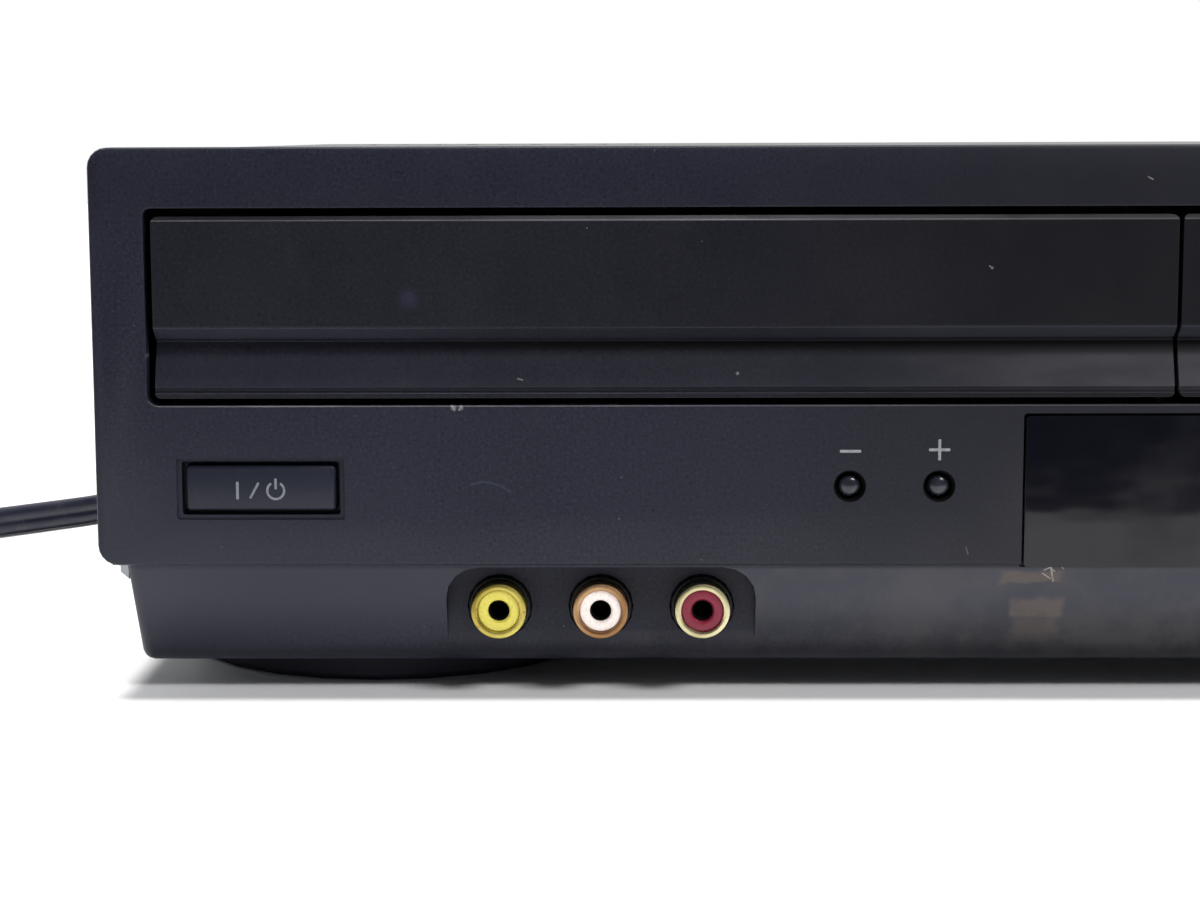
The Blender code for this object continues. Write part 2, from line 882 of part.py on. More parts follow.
def make_front_bezel():
    fascia = plate("front_bezel", [rounded((-half_width, half_width), (fascia_bottom, unit_height),
                                           fascia_bottom_radius, fascia_top_radius, 5)],
                   front_y, front_y + fascia_return, FACING)
    bm = bmesh.new()
    bm.from_mesh(fascia.data)
    rim = [edge for edge in bm.edges if edge.calc_face_angle(0) > math.radians(40)
           and all(abs(v.co.y - front_y) < weld_distance for v in edge.verts)]
    bmesh.ops.bevel(bm, geom=rim, offset=fascia_edge, segments=2, profile=0.5, affect="EDGES")
    bm.to_mesh(fascia.data)
    bm.free()
    inner = half_width - fascia_wall
    cut(fascia, box("fascia_hollow", (-inner, inner),
                    (front_y + fascia_wall, front_y + fascia_return + overrun),
                    (fascia_bottom + fascia_wall, unit_height - fascia_wall), True))

    tongue = cover_inner_half - fit
    tongue_top = cover_inner_top - fit
    tongue_foot = pan_flange_top + fit
    tongue_path = [(tongue, tongue_foot)]
    tongue_path += arc((tongue - cover_radius, tongue_top - cover_radius), cover_radius, 0, 90)
    tongue_path += arc((cover_radius - tongue, tongue_top - cover_radius), cover_radius, 90, 180)
    tongue_path += [(-tongue, tongue_foot)]
    join(fascia, plate("tongue", [sheet(tongue_path, rim_wall)], front_y + fascia_wall - sink,
                       front_y + rim_reach, FACING, True))

    slope_top = fascia_bottom + sink
    panel = [(front_y + base_set, slope_top), (front_y + base_set + base_lean, base_foot),
             (front_y + base_reach, base_foot), (front_y + base_reach, slope_top)]
    base = plate("base_panel", [panel], -base_half, base_half, SIDEWAYS, True)
    bm = bmesh.new()
    bm.from_mesh(base.data)
    for v in bm.verts:
        if v.co.z > slope_top - weld_distance:
            v.co.x += math.copysign(base_draft, v.co.x)
    rear = front_y + base_reach - weld_distance
    corners = [e for e in bm.edges if min(v.co.z for v in e.verts) < slope_top - weld_distance
               and min(v.co.y for v in e.verts) < rear and e.calc_face_angle(0) > 0]
    bmesh.ops.bevel(bm, geom=corners, offset=base_corner, segments=3, profile=0.5, affect="EDGES")
    bm.to_mesh(base.data)
    bm.free()
    join(fascia, base)
    floor_share = (fascia_bottom - base_foot - base_wall) / (fascia_bottom - base_foot)
    hollow = [(front_y + base_set + base_wall, fascia_bottom - sink),
              (front_y + base_set + base_lean * floor_share + base_wall, base_foot + base_wall),
              (front_y + base_reach + overrun, base_foot + base_wall),
              (front_y + base_reach + overrun, fascia_bottom - sink)]
    base_inner = base_half - base_wall
    cut(fascia, plate("base_hollow", [hollow], -base_inner, base_inner, SIDEWAYS, True))

    panel_back = front_y + base_set + base_wall - sink
    block_x = (alcove_left - alcove_wall, alcove_right + alcove_wall)
    block = box("alcove_back", block_x, (panel_back, alcove_back_y + alcove_wall),
                (base_foot + base_wall - sink, fascia_bottom + sink), True)
    ahead = [(panel_back - overrun, fascia_bottom), (panel_back, fascia_bottom),
             (panel_back + base_lean, base_foot), (panel_back - overrun, base_foot)]
    cut(block, plate("ahead_of_panel", [ahead], block_x[0] - overrun, block_x[1] + overrun,
                     SIDEWAYS, True))
    join(fascia, block)
    cut(fascia, plate("alcove", [rounded((alcove_left, alcove_right),
                                         (base_foot - overrun, alcove_top), sink, alcove_radius)],
                      front_y - overrun, alcove_back_y, FACING, True))
    hole = collar_radius + fit
    cut(fascia, together("collar_holes", [
        rod("hole", (socket_centre_x + shift, alcove_back_y - overrun, socket_z),
            alcove_wall + 2 * overrun, hole, "Y", is_tool=True) for _, shift in socket_colours]))

    frame_back = front_y + window_thickness + window_frame_wall
    join(fascia, box("window_frame", (-window_half - window_frame_wall, window_half + window_frame_wall),
                     (front_y + fascia_wall - sink, frame_back),
                     (fascia_bottom + fascia_wall - sink, band_bottom - fit), True))
    wide = window_half + window_gap
    cut(fascia, plate("window_rebate", [rounded((-wide, wide), (window_bottom, window_top + window_gap),
                                                fit, window_corner, 2)],
                      front_y - overrun, front_y + window_thickness + fit, FACING, True))
    view = window_half - window_ledge
    cut(fascia, box("window_view", (-view, view), (front_y, frame_back + overrun),
                    (fascia_bottom + window_ledge, window_top - window_ledge), True))

    blank = plate("band_blank", [door_outline()], blank_left, band_half + sink, SIDEWAYS, True)
    strip = box("blank_back", (blank_left, band_half + fascia_wall),
                (front_y + fascia_wall + fit, front_y + door_depth + door_wall),
                (band_bottom - fascia_wall, band_top + fascia_wall), True)
    cut(fascia, plate("band", [rounded((-band_half, band_half), (band_bottom, band_top),
                                       band_bottom_radius, band_top_radius)],
                      front_y - overrun, front_y + fascia_wall + overrun, FACING, True))
    flare = [[(u, front_y + depth, v) for u, v in
              rounded((-band_half - grow, band_half + grow), (band_bottom - grow, band_top + grow),
                      band_bottom_radius + grow, band_top_radius + grow)]
             for depth, grow in ((-band_chamfer, 2 * band_chamfer), (band_chamfer, 0.0))]
    cut(fascia, loft("band_chamfer", flare, True))
    join(fascia, strip, blank)

    frame_x = power_key_width / 2 + power_frame_side
    cut(fascia, plate("power_recess", [rounded(
        (power_key_x - frame_x, power_key_x + frame_x),
        (power_key_z - power_key_height / 2 - power_frame_side,
         power_key_z + power_key_height / 2 + power_frame_top), key_edge, key_edge, 2)],
        front_y - overrun, front_y + power_frame_depth, FACING, True))
    holes = []
    for name, x, z, width, height in key_places():
        gap = power_key_gap if name == "power_button" else key_gap
        wide, tall = width / 2 + gap, height / 2 + gap
        holes.append(plate("key_hole", [rounded((x - wide, x + wide), (z - tall, z + tall),
                                                key_edge, key_edge, 2)],
                           front_y - overrun, front_y + fascia_wall + overrun, FACING, True))
    holes += [rod("key_hole", (x, front_y - overrun, round_key_z), fascia_wall + 2 * overrun,
                  round_hole_radius, "Y", steps=turn_steps, is_tool=True)
              for _, x in round_key_places()]
    cut(fascia, together("key_holes", holes))

    posts = [rod("post", (x, front_y + fascia_wall - sink, z),
                 front_board_set - fascia_wall + sink - fit, front_post_radius, "Y", steps=post_steps,
                 is_tool=True) for x, z in front_post_places()]
    join(fascia, together("board_posts", posts))
    ears = [box("ear", ear, (hinge_y - hinge_eye, hinge_y + hinge_eye),
                (hinge_z - hinge_eye, tongue_top - rim_wall + sink), True) for ear in hinge_ears()]
    join(fascia, together("hinge_ears", ears))
    eyes = [rod("eye", (ear[0] - overrun, hinge_y, hinge_z), hinge_ear + 2 * overrun,
                hinge_radius + fit, "X", steps=fine_steps, is_tool=True) for ear in hinge_ears()]
    cut(fascia, together("hinge_eyes", eyes))
    finish_part(fascia, charcoal())


def make_display():
    window = box("display_window", (-window_half, window_half),
                 (front_y, front_y + window_thickness), (window_bottom + fit, window_top), False,
                 "Y", window_corner, 2)
    finish_part(window, material("smoked_acrylic", (0.01, 0.011, 0.016), 0.06))
    low = display_centre_z - display_height / 2
    lens = box("display_module", (-display_half, display_half),
               (front_y + window_thickness + window_frame_wall + running_gap,
                front_board_y - fit), (low, low + display_height), False, "Y", key_edge, 2)
    finish_part(lens, material("display_glass", (0.03, 0.05, 0.05), 0.1))


def make_front_board():
    corners = rectangle((-front_board_half, front_board_half), (front_board_bottom, front_board_top))
    board = plate("front_board", [corners], front_board_y, front_board_y + board_thickness, FACING)
    stem_end = key_stem_end()
    half = switch_side / 2
    switches = [box("switch", (x - half, x + half), (stem_end + key_travel + fit, front_board_y + sink),
                    (z - half / 2, z + half / 2), True)
                for x, z in [(key[1], key[2]) for key in key_places()]
                + [(x, round_key_z) for _, x in round_key_places()]]
    join(board, together("switches", switches))
    finish_part(board, circuit_board(), False)


def key_stem_end():
    """How far back a key's flange reaches, as y."""
    return front_y + fascia_wall + fit + key_flange_thickness


def make_keys():
    for name, x, z, width, height in key_places():
        face = box(name, (x - width / 2, x + width / 2),
                   (front_y + key_set, key_stem_end() - key_flange_thickness + sink),
                   (z - height / 2, z + height / 2), False, "ALL", key_edge, 2)
        wide, tall = width / 2 + key_flange, height / 2 + key_flange
        join(face, box("flange", (x - wide, x + wide), (key_stem_end() - key_flange_thickness,
                                                        key_stem_end()), (z - tall, z + tall), True))
        pivot(face, (x, front_y + key_set, z))
        finish_part(face, charcoal())
    for name, x in round_key_places():
        reach = key_stem_end() - front_y - key_set
        dome = [(0, reach)]
        dome += [(round_key_radius * math.sin(math.radians(a)),
                  reach - round_key_dome * (1 - math.cos(math.radians(a)))) for a in (30, 60, 90)]
        dome += [(round_key_radius, key_flange_thickness),
                 (round_hole_radius + key_flange, key_flange_thickness),
                 (round_hole_radius + key_flange, 0), (0, 0)]
        button = turned(name, dome, small_steps)
        set_turned(button, Matrix.Translation((x, key_stem_end(), round_key_z))
                   @ Matrix.Rotation(math.pi / 2, 4, "X"))
        pivot(button, (x, front_y + key_set, round_key_z))
        finish_part(button, material("gloss_black", (0.01, 0.01, 0.012), 0.12))


def make_front_sockets():
    back = jack_front_y + jack_block_thickness
    reach = socket_pitch + collar_radius + jack_block_side
    block = box("front_jack_block", (socket_centre_x - reach, socket_centre_x + reach),
                (jack_front_y, back), (socket_z - jack_block_height / 2,
                                       socket_z + jack_block_height / 2))
    bore = socket_radius + fit
    collars = [rod("collar", (socket_centre_x + shift, alcove_back_y - collar_proud, socket_z),
                   jack_front_y + sink - alcove_back_y + collar_proud, collar_radius, "Y",
                   is_tool=True) for _, shift in socket_colours]
    bores = [rod("bore", (socket_centre_x + shift, alcove_back_y - collar_proud - overrun, socket_z),
                 back - alcove_back_y + collar_proud + 2 * overrun, bore, "Y",
                 is_tool=True) for _, shift in socket_colours]
    join(block, together("collars", collars))
    cut(block, together("jack_bores", bores))
    finish_part(block, black_plastic())

    length = back - socket_tip_y
    inner = socket_radius - socket_wall
    tints = {"yellow": (0.75, 0.65, 0.10), "white": (0.85, 0.82, 0.78), "red": (0.50, 0.03, 0.06)}
    plating = {"yellow": (0.62, 0.55, 0.18), "white": (0.45, 0.22, 0.11), "red": (0.75, 0.68, 0.50)}
    facing = Matrix.Rotation(math.pi / 2, 4, "X")
    for colour, shift in socket_colours:
        place = Matrix.Translation((socket_centre_x + shift, back, socket_z)) @ facing
        edge = socket_wall / 4
        shell = turned("jack_shell_" + colour, [
            (inner, length - edge), (inner + edge, length), (socket_radius - edge, length),
            (socket_radius, length - edge), (socket_radius, 0), (inner, 0)], small_steps, ring=True)
        finish_part(set_turned(shell, place),
                    material("socket_plating_" + colour, plating[colour], 0.35, 0.9))
        tip = length - insulator_set
        core = inner - fit
        insulator = turned("jack_insulator_" + colour, [
            (0, tip - socket_hole_depth), (socket_hole_radius, tip - socket_hole_depth),
            (socket_hole_radius, tip - edge), (socket_hole_radius + edge, tip), (core - edge, tip),
            (core, tip - edge), (core, 0), (0, 0)], small_steps)
        finish_part(set_turned(insulator, place),
                    material("socket_" + colour, tints[colour], 0.4))


def cover_path():
    """The cover's outer section, from its right foot over the top to its left foot."""
    path = [(cover_half, cover_foot)]
    path += arc((cover_half - cover_radius, cover_top - cover_radius), cover_radius, 0, 90)
    path += arc((cover_radius - cover_half, cover_top - cover_radius), cover_radius, 90, 180)
    return path + [(-cover_half, cover_foot)]


def make_cover():
    cover = plate("top_cover", [sheet(cover_path(), cover_sheet)], case_front_y,
                  rear_face_y + cover_overhang, FACING)
    slots = []
    top_slot_y = rear_inner_y - top_slot_rear_set
    for centre in (top_slot_left_set - half_width, half_width - top_slot_right_set):
        for i in range(top_slot_count):
            x = centre + (i - (top_slot_count - 1) / 2) * slot_pitch
            slots.append(box("slot", (x - slot_width / 2, x + slot_width / 2),
                             (top_slot_y - slot_length / 2, top_slot_y + slot_length / 2),
                             (cover_inner_top - overrun, cover_top + overrun), True))
    for i in range(side_slot_count):
        y = rear_inner_y - side_slot_rear_set + i * slot_pitch
        for side in (-1, 1):
            ends = sorted((side * (cover_inner_half - overrun), side * (cover_half + overrun)))
            slots.append(box("slot", ends, (y, y + slot_width),
                             (side_slot_z, side_slot_z + side_slot_height), True))
    cut(cover, together("cover_slots", slots))
    finish_part(cover, painted_steel())


def pan_path():
    return [(-pan_half, pan_flange_top), (-pan_half, pan_shoulder),
            (pan_chamfer - pan_half, pan_bottom), (pan_half - pan_chamfer, pan_bottom),
            (pan_half, pan_shoulder), (pan_half, pan_flange_top)]


def board_post_places():
    """Posts under the two circuit boards."""
    inset = 2 * post_radius
    main = [(main_board_right - inset, main_board_front + inset),
            (main_board_step + inset, main_board_front + inset),
            (main_board_right - inset, main_board_rear - inset),
            (main_board_left + inset, main_board_rear - inset),
            ((main_board_left + main_board_right) / 2, main_board_rear - inset)]
    power = [(x, y) for x in (power_board_left + inset, power_board_right - inset)
             for y in (power_board_front + inset, power_board_rear - inset)]
    return main + power


def loader_foot_places():
    inset = loader_wall + loader_foot / 2
    return [(loader_x + side * (loader_half - inset), y) for side in (-1, 1)
            for y in (loader_front_y + 2 * loader_foot, loader_rear_y - loader_foot)]


def deck_post_places():
    return [(bay_x + side * (deck_half - deck_post_inset), y) for side in (-1, 1)
            for y in (deck_front_y + deck_post_inset, deck_rear_y - deck_post_inset)]


def make_chassis():
    pan = plate("bottom_chassis", [sheet(pan_path(), pan_sheet)], case_front_y,
                rear_inner_y - fit, FACING)
    clear = base_half + base_draft + fit
    cut(pan, box("front_notch", (-clear, clear), (case_front_y - overrun, front_y + base_reach + fit),
                 (pan_bottom - overrun, pan_flange_top + overrun), True))
    slots = []
    for side in (-1, 1):
        for i in range(pan_slot_count):
            y = rear_inner_y - pan_slot_rear_set + i * slot_pitch
            x = side * (half_width - pan_slot_side_set)
            slots.append(box("slot", (x - slot_length / 2, x + slot_length / 2),
                             (y, y + slot_width), (pan_bottom - overrun, pan_top + overrun), True))
    cut(pan, together("pan_slots", slots))
    base = pan_top - sink
    for places, top in ((board_post_places(), board_level), (loader_foot_places(), loader_bottom),
                        (deck_post_places(), deck_bottom)):
        posts = [rod("post", (x, y, base), top - fit - base, post_radius + post_spread,
                     tip=post_radius, steps=post_steps, is_tool=True) for x, y in places]
        join(pan, together("pan_posts", posts))
    finish_part(pan, galvanised())


def make_rear_panel():
    clear = cover_inner_top - fit
    corner = cover_radius - cover_sheet
    outline = pan_path()[1:-1]
    outline += arc((pan_half - corner, clear - corner), corner, 0, 90, 3)
    outline += arc((corner - pan_half, clear - corner), corner, 90, 180, 3)
    holes = [circle((x, z), rear_socket_radius + running_gap, fine_steps)
             for x, z in rear_socket_places()]
    holes += [circle((x, aerial_z), aerial_radius + running_gap) for x in aerial_places()]
    holes.append(circle((cord_exit_x, cord_exit_z), relief_root_radius + fit))
    panel = plate("rear_panel", [outline] + holes, rear_inner_y, rear_face_y, FACING)
    finish_part(panel, painted_steel())


def make_feet():
    top = pan_bottom - fit
    profile = [(0, top), (foot_top_radius, top), (foot_radius - foot_edge / 2, foot_hollow),
               (foot_radius, foot_edge), (foot_radius - foot_edge, 0),
               (foot_radius - foot_rim, 0), (foot_radius - foot_rim - foot_edge, foot_hollow),
               (0, foot_hollow)]
    places = {"foot_front_left": (-foot_x, front_y + foot_front_set),
              "foot_front_right": (foot_x, front_y + foot_front_set),
              "foot_rear_left": (-foot_x, rear_inner_y - foot_rear_set),
              "foot_rear_right": (foot_x, rear_inner_y - foot_rear_set)}
    for name, (x, y) in places.items():
        foot = turned(name, profile, turn_steps)
        foot.location = (x, y, 0)
        finish_part(foot, black_plastic())


def make_main_board():
    outline = [(main_board_left, main_board_strip), (main_board_step, main_board_strip),
               (main_board_step, main_board_front), (main_board_right, main_board_front),
               (main_board_right, main_board_rear), (main_board_left, main_board_rear)]
    board = plate("main_board", [outline], board_level, board_top)
    middle = (main_board_step + main_board_right) / 2
    foot = board_top - sink
    pieces = [box("chip", (middle - chip_side / 2, middle + chip_side / 2), (y, y + chip_side),
                  (foot, board_top + chip_height), True)
              for y in (main_board_front + chip_side, main_board_front + 3 * chip_side)]
    pieces += [rod("can", (middle + side * chip_side / 2, main_board_front + 5.5 * chip_side, foot),
                   small_capacitor_height, small_capacitor_radius, steps=fine_steps, is_tool=True)
               for side in (-1, 1)]
    lane = (main_board_strip + 2 * small_capacitor_radius)
    pieces += [rod("can", (main_board_left + (2 + i) * chip_side, lane, foot),
                   small_capacitor_height, small_capacitor_radius, steps=fine_steps, is_tool=True)
               for i in (0, 5)]
    join(board, together("main_components", pieces))
    finish_part(board, circuit_board(), False)


def make_power_board():
    outline = rectangle((power_board_left, power_board_right), (power_board_front, power_board_rear))
    board = plate("power_board", [outline], board_level, board_top)
    foot = board_top - sink
    edge = 4 * post_radius
    left, front = power_board_left + edge, power_board_front + edge
    rear, right = power_board_rear - edge, power_board_right - edge
    core = transformer_width / 5
    pieces = [box("transformer", (left, left + transformer_width), (front, front + transformer_depth),
                  (foot, board_top + transformer_height), True, "ALL", fascia_edge, 1)]
    capacitor_x = left + bulk_capacitor_radius
    pieces.append(rod("capacitor", (capacitor_x, rear - bulk_capacitor_length,
                                    board_top + bulk_capacitor_radius - sink),
                      bulk_capacitor_length, bulk_capacitor_radius, "Y", is_tool=True))
    fins = right - (heat_fin_count - 1) * heat_fin_pitch - heat_fin_thickness
    comb = [(fins, 0)]
    for i in range(heat_fin_count):
        x = fins + i * heat_fin_pitch
        comb += [(x, heat_sink_height), (x + heat_fin_thickness, heat_sink_height)]
        if i + 1 < heat_fin_count:
            comb += [(x + heat_fin_thickness, core / 2), (x + heat_fin_pitch, core / 2)]
    comb.append((right, 0))
    comb = [(x, foot + z) for x, z in comb]
    pieces.append(plate("heat_sink", [comb], front, front + heat_sink_length, FACING, True))
    pieces += [rod("can", (right - small_capacitor_radius - i * chip_side / 2,
                           rear - small_capacitor_radius, foot), small_capacitor_height,
                   small_capacitor_radius, steps=fine_steps, is_tool=True) for i in range(3)]
    join(board, together("power_components", pieces))
    finish_part(board, circuit_board(), False)


def rear_socket_places():
    return [(rear_socket_first_x + i * rear_socket_pitch_x, rear_socket_z + row * rear_socket_pitch_z)
            for row in (0, 1) for i in range(rear_socket_columns)]


def aerial_places():
    return [tuner_x - aerial_pitch / 2, tuner_x + aerial_pitch / 2]


def make_rear_sockets():
    side = rear_socket_pitch_x / 2
    last = rear_socket_first_x + (rear_socket_columns - 1) * rear_socket_pitch_x
    front = rear_inner_y - fit - rear_block_depth
    block = box("rear_jack_block", (rear_socket_first_x - side, last + side),
                (front, rear_inner_y - fit),
                (board_top + fit, rear_socket_z + rear_socket_pitch_z + side))
    tubes = [rod("tube", (x, rear_inner_y - fit - sink, z), rear_y - rear_inner_y + fit + sink,
                 rear_socket_radius, "Y", steps=fine_steps, is_tool=True)
             for x, z in rear_socket_places()]
    holes = [rod("hole", (x, rear_y - socket_hole_depth, z), socket_hole_depth + overrun,
                 socket_hole_radius, "Y", steps=hole_steps, is_tool=True)
             for x, z in rear_socket_places()]
    join(block, together("rear_tubes", tubes))
    cut(block, together("rear_holes", holes))
    finish_part(block, black_plastic())

    tuner = box("tuner_can", (tuner_x - tuner_width / 2, tuner_x + tuner_width / 2),
                (rear_inner_y - fit - tuner_depth, rear_inner_y - fit),
                (board_top + fit, board_top + fit + tuner_height), False, "ALL", fascia_edge, 1)
    tubes = [rod("tube", (x, rear_inner_y - fit - 2 * sink, aerial_z),
                 rear_y - rear_inner_y + fit + 2 * sink, aerial_radius, "Y", is_tool=True)
             for x in aerial_places()]
    holes = [rod("hole", (x, rear_y - socket_hole_depth, aerial_z), socket_hole_depth + overrun,
                 socket_hole_radius, "Y", steps=fine_steps, is_tool=True) for x in aerial_places()]
    join(tuner, together("aerial_tubes", tubes))
    cut(tuner, together("aerial_holes", holes))
    finish_part(tuner, bright_steel())


def make_loader():
    wall = loader_half - loader_wall
    ledge = tray_half + running_gap - rail_width
    section = [(loader_half, loader_bottom), (loader_half, loader_top), (wall, loader_top),
               (wall, rail_level), (ledge, rail_level), (ledge, rail_level - rail_sheet),
               (wall, rail_level - rail_sheet), (wall, loader_bottom)]
    frame = plate("loader_frame", [[(loader_x + x, z) for x, z in section]], loader_front_y,
                  loader_rear_y, FACING)
    mirror_plane = bpy.data.objects.new("loader_middle", None)
    mirror_plane.location = (loader_x, 0, 0)
    tools.objects.link(mirror_plane)
    mirror = frame.modifiers.new("mirror", "MIRROR")
    mirror.mirror_object = mirror_plane
    mirror.use_mirror_merge = False
    inner = wall + sink
    bars = [box("bar", (loader_x - inner, loader_x + inner), (y, y + loader_bar_depth),
                (loader_bottom, loader_bottom + loader_bar_height), True)
            for y in (loader_front_y + fit, loader_rear_y - loader_bar_depth - fit)]
    bars[0].data.transform(Matrix.Translation((0, 0, sink)))
    bars[1].data.transform(Matrix.Translation((0, 0, sink)))
    join(frame, together("loader_bars", bars))
    feet = []
    for side in (-1, 1):
        for y in (loader_front_y + 2 * loader_foot, loader_rear_y - loader_foot):
            ends = sorted((loader_x + side * (wall + sink), loader_x + side * (wall - loader_foot)))
            feet.append(box("foot", ends, (y - loader_foot / 2, y + loader_foot / 2),
                            (loader_bottom, loader_bottom + loader_foot_height), True))
    join(frame, together("loader_feet", feet))
    gear = (loader_x - tray_half + gear_x_inset, front_y + gear_set)
    join(frame, rod("gear_pin", (*gear, loader_bottom + loader_bar_height),
                    tray_bottom - running_gap - loader_bottom - loader_bar_height, rod_radius,
                    steps=fine_steps, is_tool=True))
    finish_part(frame, black_plastic())


def make_tray():
    left, right = loader_x - tray_half, loader_x + tray_half
    tray = box("disc_tray", (left, right), (tray_front_y, tray_rear_y), (tray_bottom, tray_top),
               False, "Z", tray_corner, 3)
    cut(tray, rod("disc_well", (loader_x, disc_y, tray_top - disc_well_depth),
                  disc_well_depth + overrun, disc_well_radius, steps=48, is_tool=True),
        rod("small_well", (loader_x, disc_y, tray_top - small_well_depth),
            small_well_depth, small_well_radius, steps=36, is_tool=True),
        box("tray_slot", (loader_x - tray_slot_half, loader_x + tray_slot_half),
            (disc_y - tray_slot_front, disc_y + tray_slot_rear),
            (tray_bottom - overrun, tray_top + overrun), True, "Z", tray_slot_half / 2, 4))
    rack_left = left + rack_inset
    gear_y = front_y + gear_set
    join(tray, box("rack", (rack_left, rack_left + rack_width),
                   (gear_y - rack_lead, gear_y + tray_travel + rack_lead),
                   (tray_bottom - rack_height, tray_bottom + sink), True))
    pivot(tray, (loader_x, tray_front_y, tray_bottom))
    finish_part(tray, black_plastic())

    front = plate("tray_front", [door_outline()], tray_front_left, tray_front_right, SIDEWAYS)
    cut(front, door_pocket("tray_front_pocket", tray_front_left, tray_front_right),
        door_corners(tray_front_left, tray_front_right))
    pivot(front, (loader_x, front_y, tray_bottom))
    finish_part(front, charcoal())


def make_tray_gear():
    base = loader_bottom + loader_bar_height + fit + sink
    tip = gear_x_inset - rack_inset - rack_width - fit
    outline = []
    for i in range(4 * gear_teeth):
        turn = 2 * math.pi * i / (4 * gear_teeth)
        radius = tip if i % 4 < 2 else tip - gear_tooth
        outline.append((radius * math.cos(turn), radius * math.sin(turn)))
    top = tray_bottom - fit
    gear = plate("tray_gear", [outline], base + pulley_height - sink, top)
    groove = pulley_radius - gear_tooth
    wheel = turned("pulley", [(0, base + pulley_height), (pulley_radius, base + pulley_height),
                              (groove, base + pulley_height / 2), (pulley_radius, base), (0, base)],
                   is_tool=True)
    bore = rod("gear_bore", (0, 0, base - overrun), top - base + 2 * overrun, rod_radius + fit,
               steps=fine_steps, is_tool=True)
    cut(join(gear, wheel), bore)
    settle(gear)
    gear.location = (loader_x - tray_half + gear_x_inset, front_y + gear_set, 0)
    finish_part(gear, white_plastic(), False)


def make_clamp():
    inner = loader_half
    low, high = bridge_level, bridge_level + bridge_thickness
    bridge = plate("clamp_bridge", [rectangle((loader_x - inner, loader_x + inner),
                                              (disc_y - bridge_depth / 2, disc_y + bridge_depth / 2)),
                                    circle((loader_x, disc_y), clamper_hole_radius, 24)], low, high)
    lips = [box("lip", (loader_x - inner + loader_wall, loader_x + inner - loader_wall),
                (y, y + loader_wall), (low + sink, high + bridge_rib), True)
            for y in (disc_y - bridge_depth / 2 + sink, disc_y + bridge_depth / 2 - loader_wall - sink)]
    join(bridge, together("bridge_lips", lips))
    legs = [box("leg", (x, x + loader_wall), (disc_y - bridge_depth / 2 + sink,
                                              disc_y + bridge_depth / 2 - sink),
                (loader_top + fit, low + sink), True)
            for x in (loader_x - inner + sink, loader_x + inner - loader_wall - sink)]
    join(bridge, together("bridge_legs", legs))
    finish_part(bridge, galvanised())
    clamper = turned("disc_clamper", [
        (0, clamper_cap), (clamper_flange - fascia_edge, clamper_cap),
        (clamper_flange, clamper_cap - fascia_edge), (clamper_flange, fit), (clamper_radius, fit),
        (clamper_radius, fit - clamper_drop + fascia_edge),
        (clamper_radius - fascia_edge, fit - clamper_drop), (0, fit - clamper_drop)])
    clamper.location = (loader_x, disc_y, high)
    finish_part(clamper, white_plastic())


def make_traverse():
    rear = disc_y + traverse_behind
    window = rectangle((loader_x - traverse_window_half, loader_x + traverse_window_half),
                       (disc_y + motor_radius + rod_radius, rear - loader_foot))
    frame = plate("pickup_chassis", [rectangle((loader_x - traverse_half, loader_x + traverse_half),
                                               (traverse_front_y, rear)), window],
                  traverse_level, traverse_level + traverse_sheet)
    join(frame, rod("motor", (loader_x, disc_y, motor_bottom), motor_top - motor_bottom,
                    motor_radius, steps=turn_steps, is_tool=True),
         rod("spindle", (loader_x, disc_y, motor_top - sink),
             turntable_top - turntable_thickness - motor_top, spindle_radius, steps=fine_steps, is_tool=True))
    front = disc_y + motor_radius + rod_radius
    cradle = 2 * rod_radius
    for y in (front - cradle + sink, rear - loader_foot - sink):
        join(frame, box("cradle", (loader_x - rod_offset - cradle, loader_x + rod_offset + cradle),
                        (y, y + cradle), (traverse_level + sink, rod_z + rod_radius + running_gap), True))
    rods = [rod("rod", (loader_x + side * rod_offset, front - sink, rod_z),
                rear - loader_foot - front + 2 * sink, rod_radius, "Y", steps=fine_steps, is_tool=True)
            for side in (-1, 1)]
    join(frame, together("rods", rods))
    ears = [box("traverse_ear", sorted((loader_x + side * (traverse_half - sink),
                                        loader_x + side * (loader_half - loader_wall - fit))),
                (rear - loader_foot, rear + loader_foot),
                (traverse_level + fit, traverse_level + traverse_sheet - fit), True)
            for side in (-1, 1)]
    join(frame, together("traverse_ears", ears))
    finish_part(frame, galvanised())

    bore = spindle_radius + fit
    under = turntable_top - turntable_thickness - turntable_thickness
    table = turned("turntable", [
        (0, turntable_top), (turntable_cone_radius - turntable_thickness / 2, turntable_top),
        (turntable_cone_radius, turntable_top - turntable_thickness),
        (turntable_radius, turntable_top - turntable_thickness),
        (turntable_radius, under), (bore, under),
        (bore, turntable_top - turntable_thickness / 2), (0, turntable_top - turntable_thickness / 2)])
    table.location = (loader_x, disc_y, 0)
    finish_part(table, black_plastic())

    start = front + cradle + pickup_rest_gap
    sled = box("optical_pickup", (loader_x - pickup_half, loader_x + pickup_half),
               (start, start + pickup_length), (pickup_bottom + traverse_sheet, pickup_top),
               False, "Z", rod_radius, 2)
    lugs = [box("lug", sorted((loader_x + side * (pickup_half - sink),
                               loader_x + side * (rod_offset + 2 * rod_radius + fit))),
                (start + rod_radius, start + pickup_length - rod_radius),
                (rod_z - 2 * rod_radius, rod_z + 2 * rod_radius), True) for side in (-1, 1)]
    join(sled, together("lugs", lugs))
    bores = [rod("bore", (loader_x + side * rod_offset, start - overrun, rod_z),
                 pickup_length + 2 * overrun, rod_radius + fit, "Y", steps=fine_steps, is_tool=True)
             for side in (-1, 1)]
    cut(sled, together("bores", bores))
    join(sled, rod("lens", (loader_x, start + 2 * lens_radius, pickup_top - sink),
                   lens_height + sink, lens_radius, is_tool=True))
    pivot(sled, (loader_x, start, rod_z))
    finish_part(sled, grey_plastic())


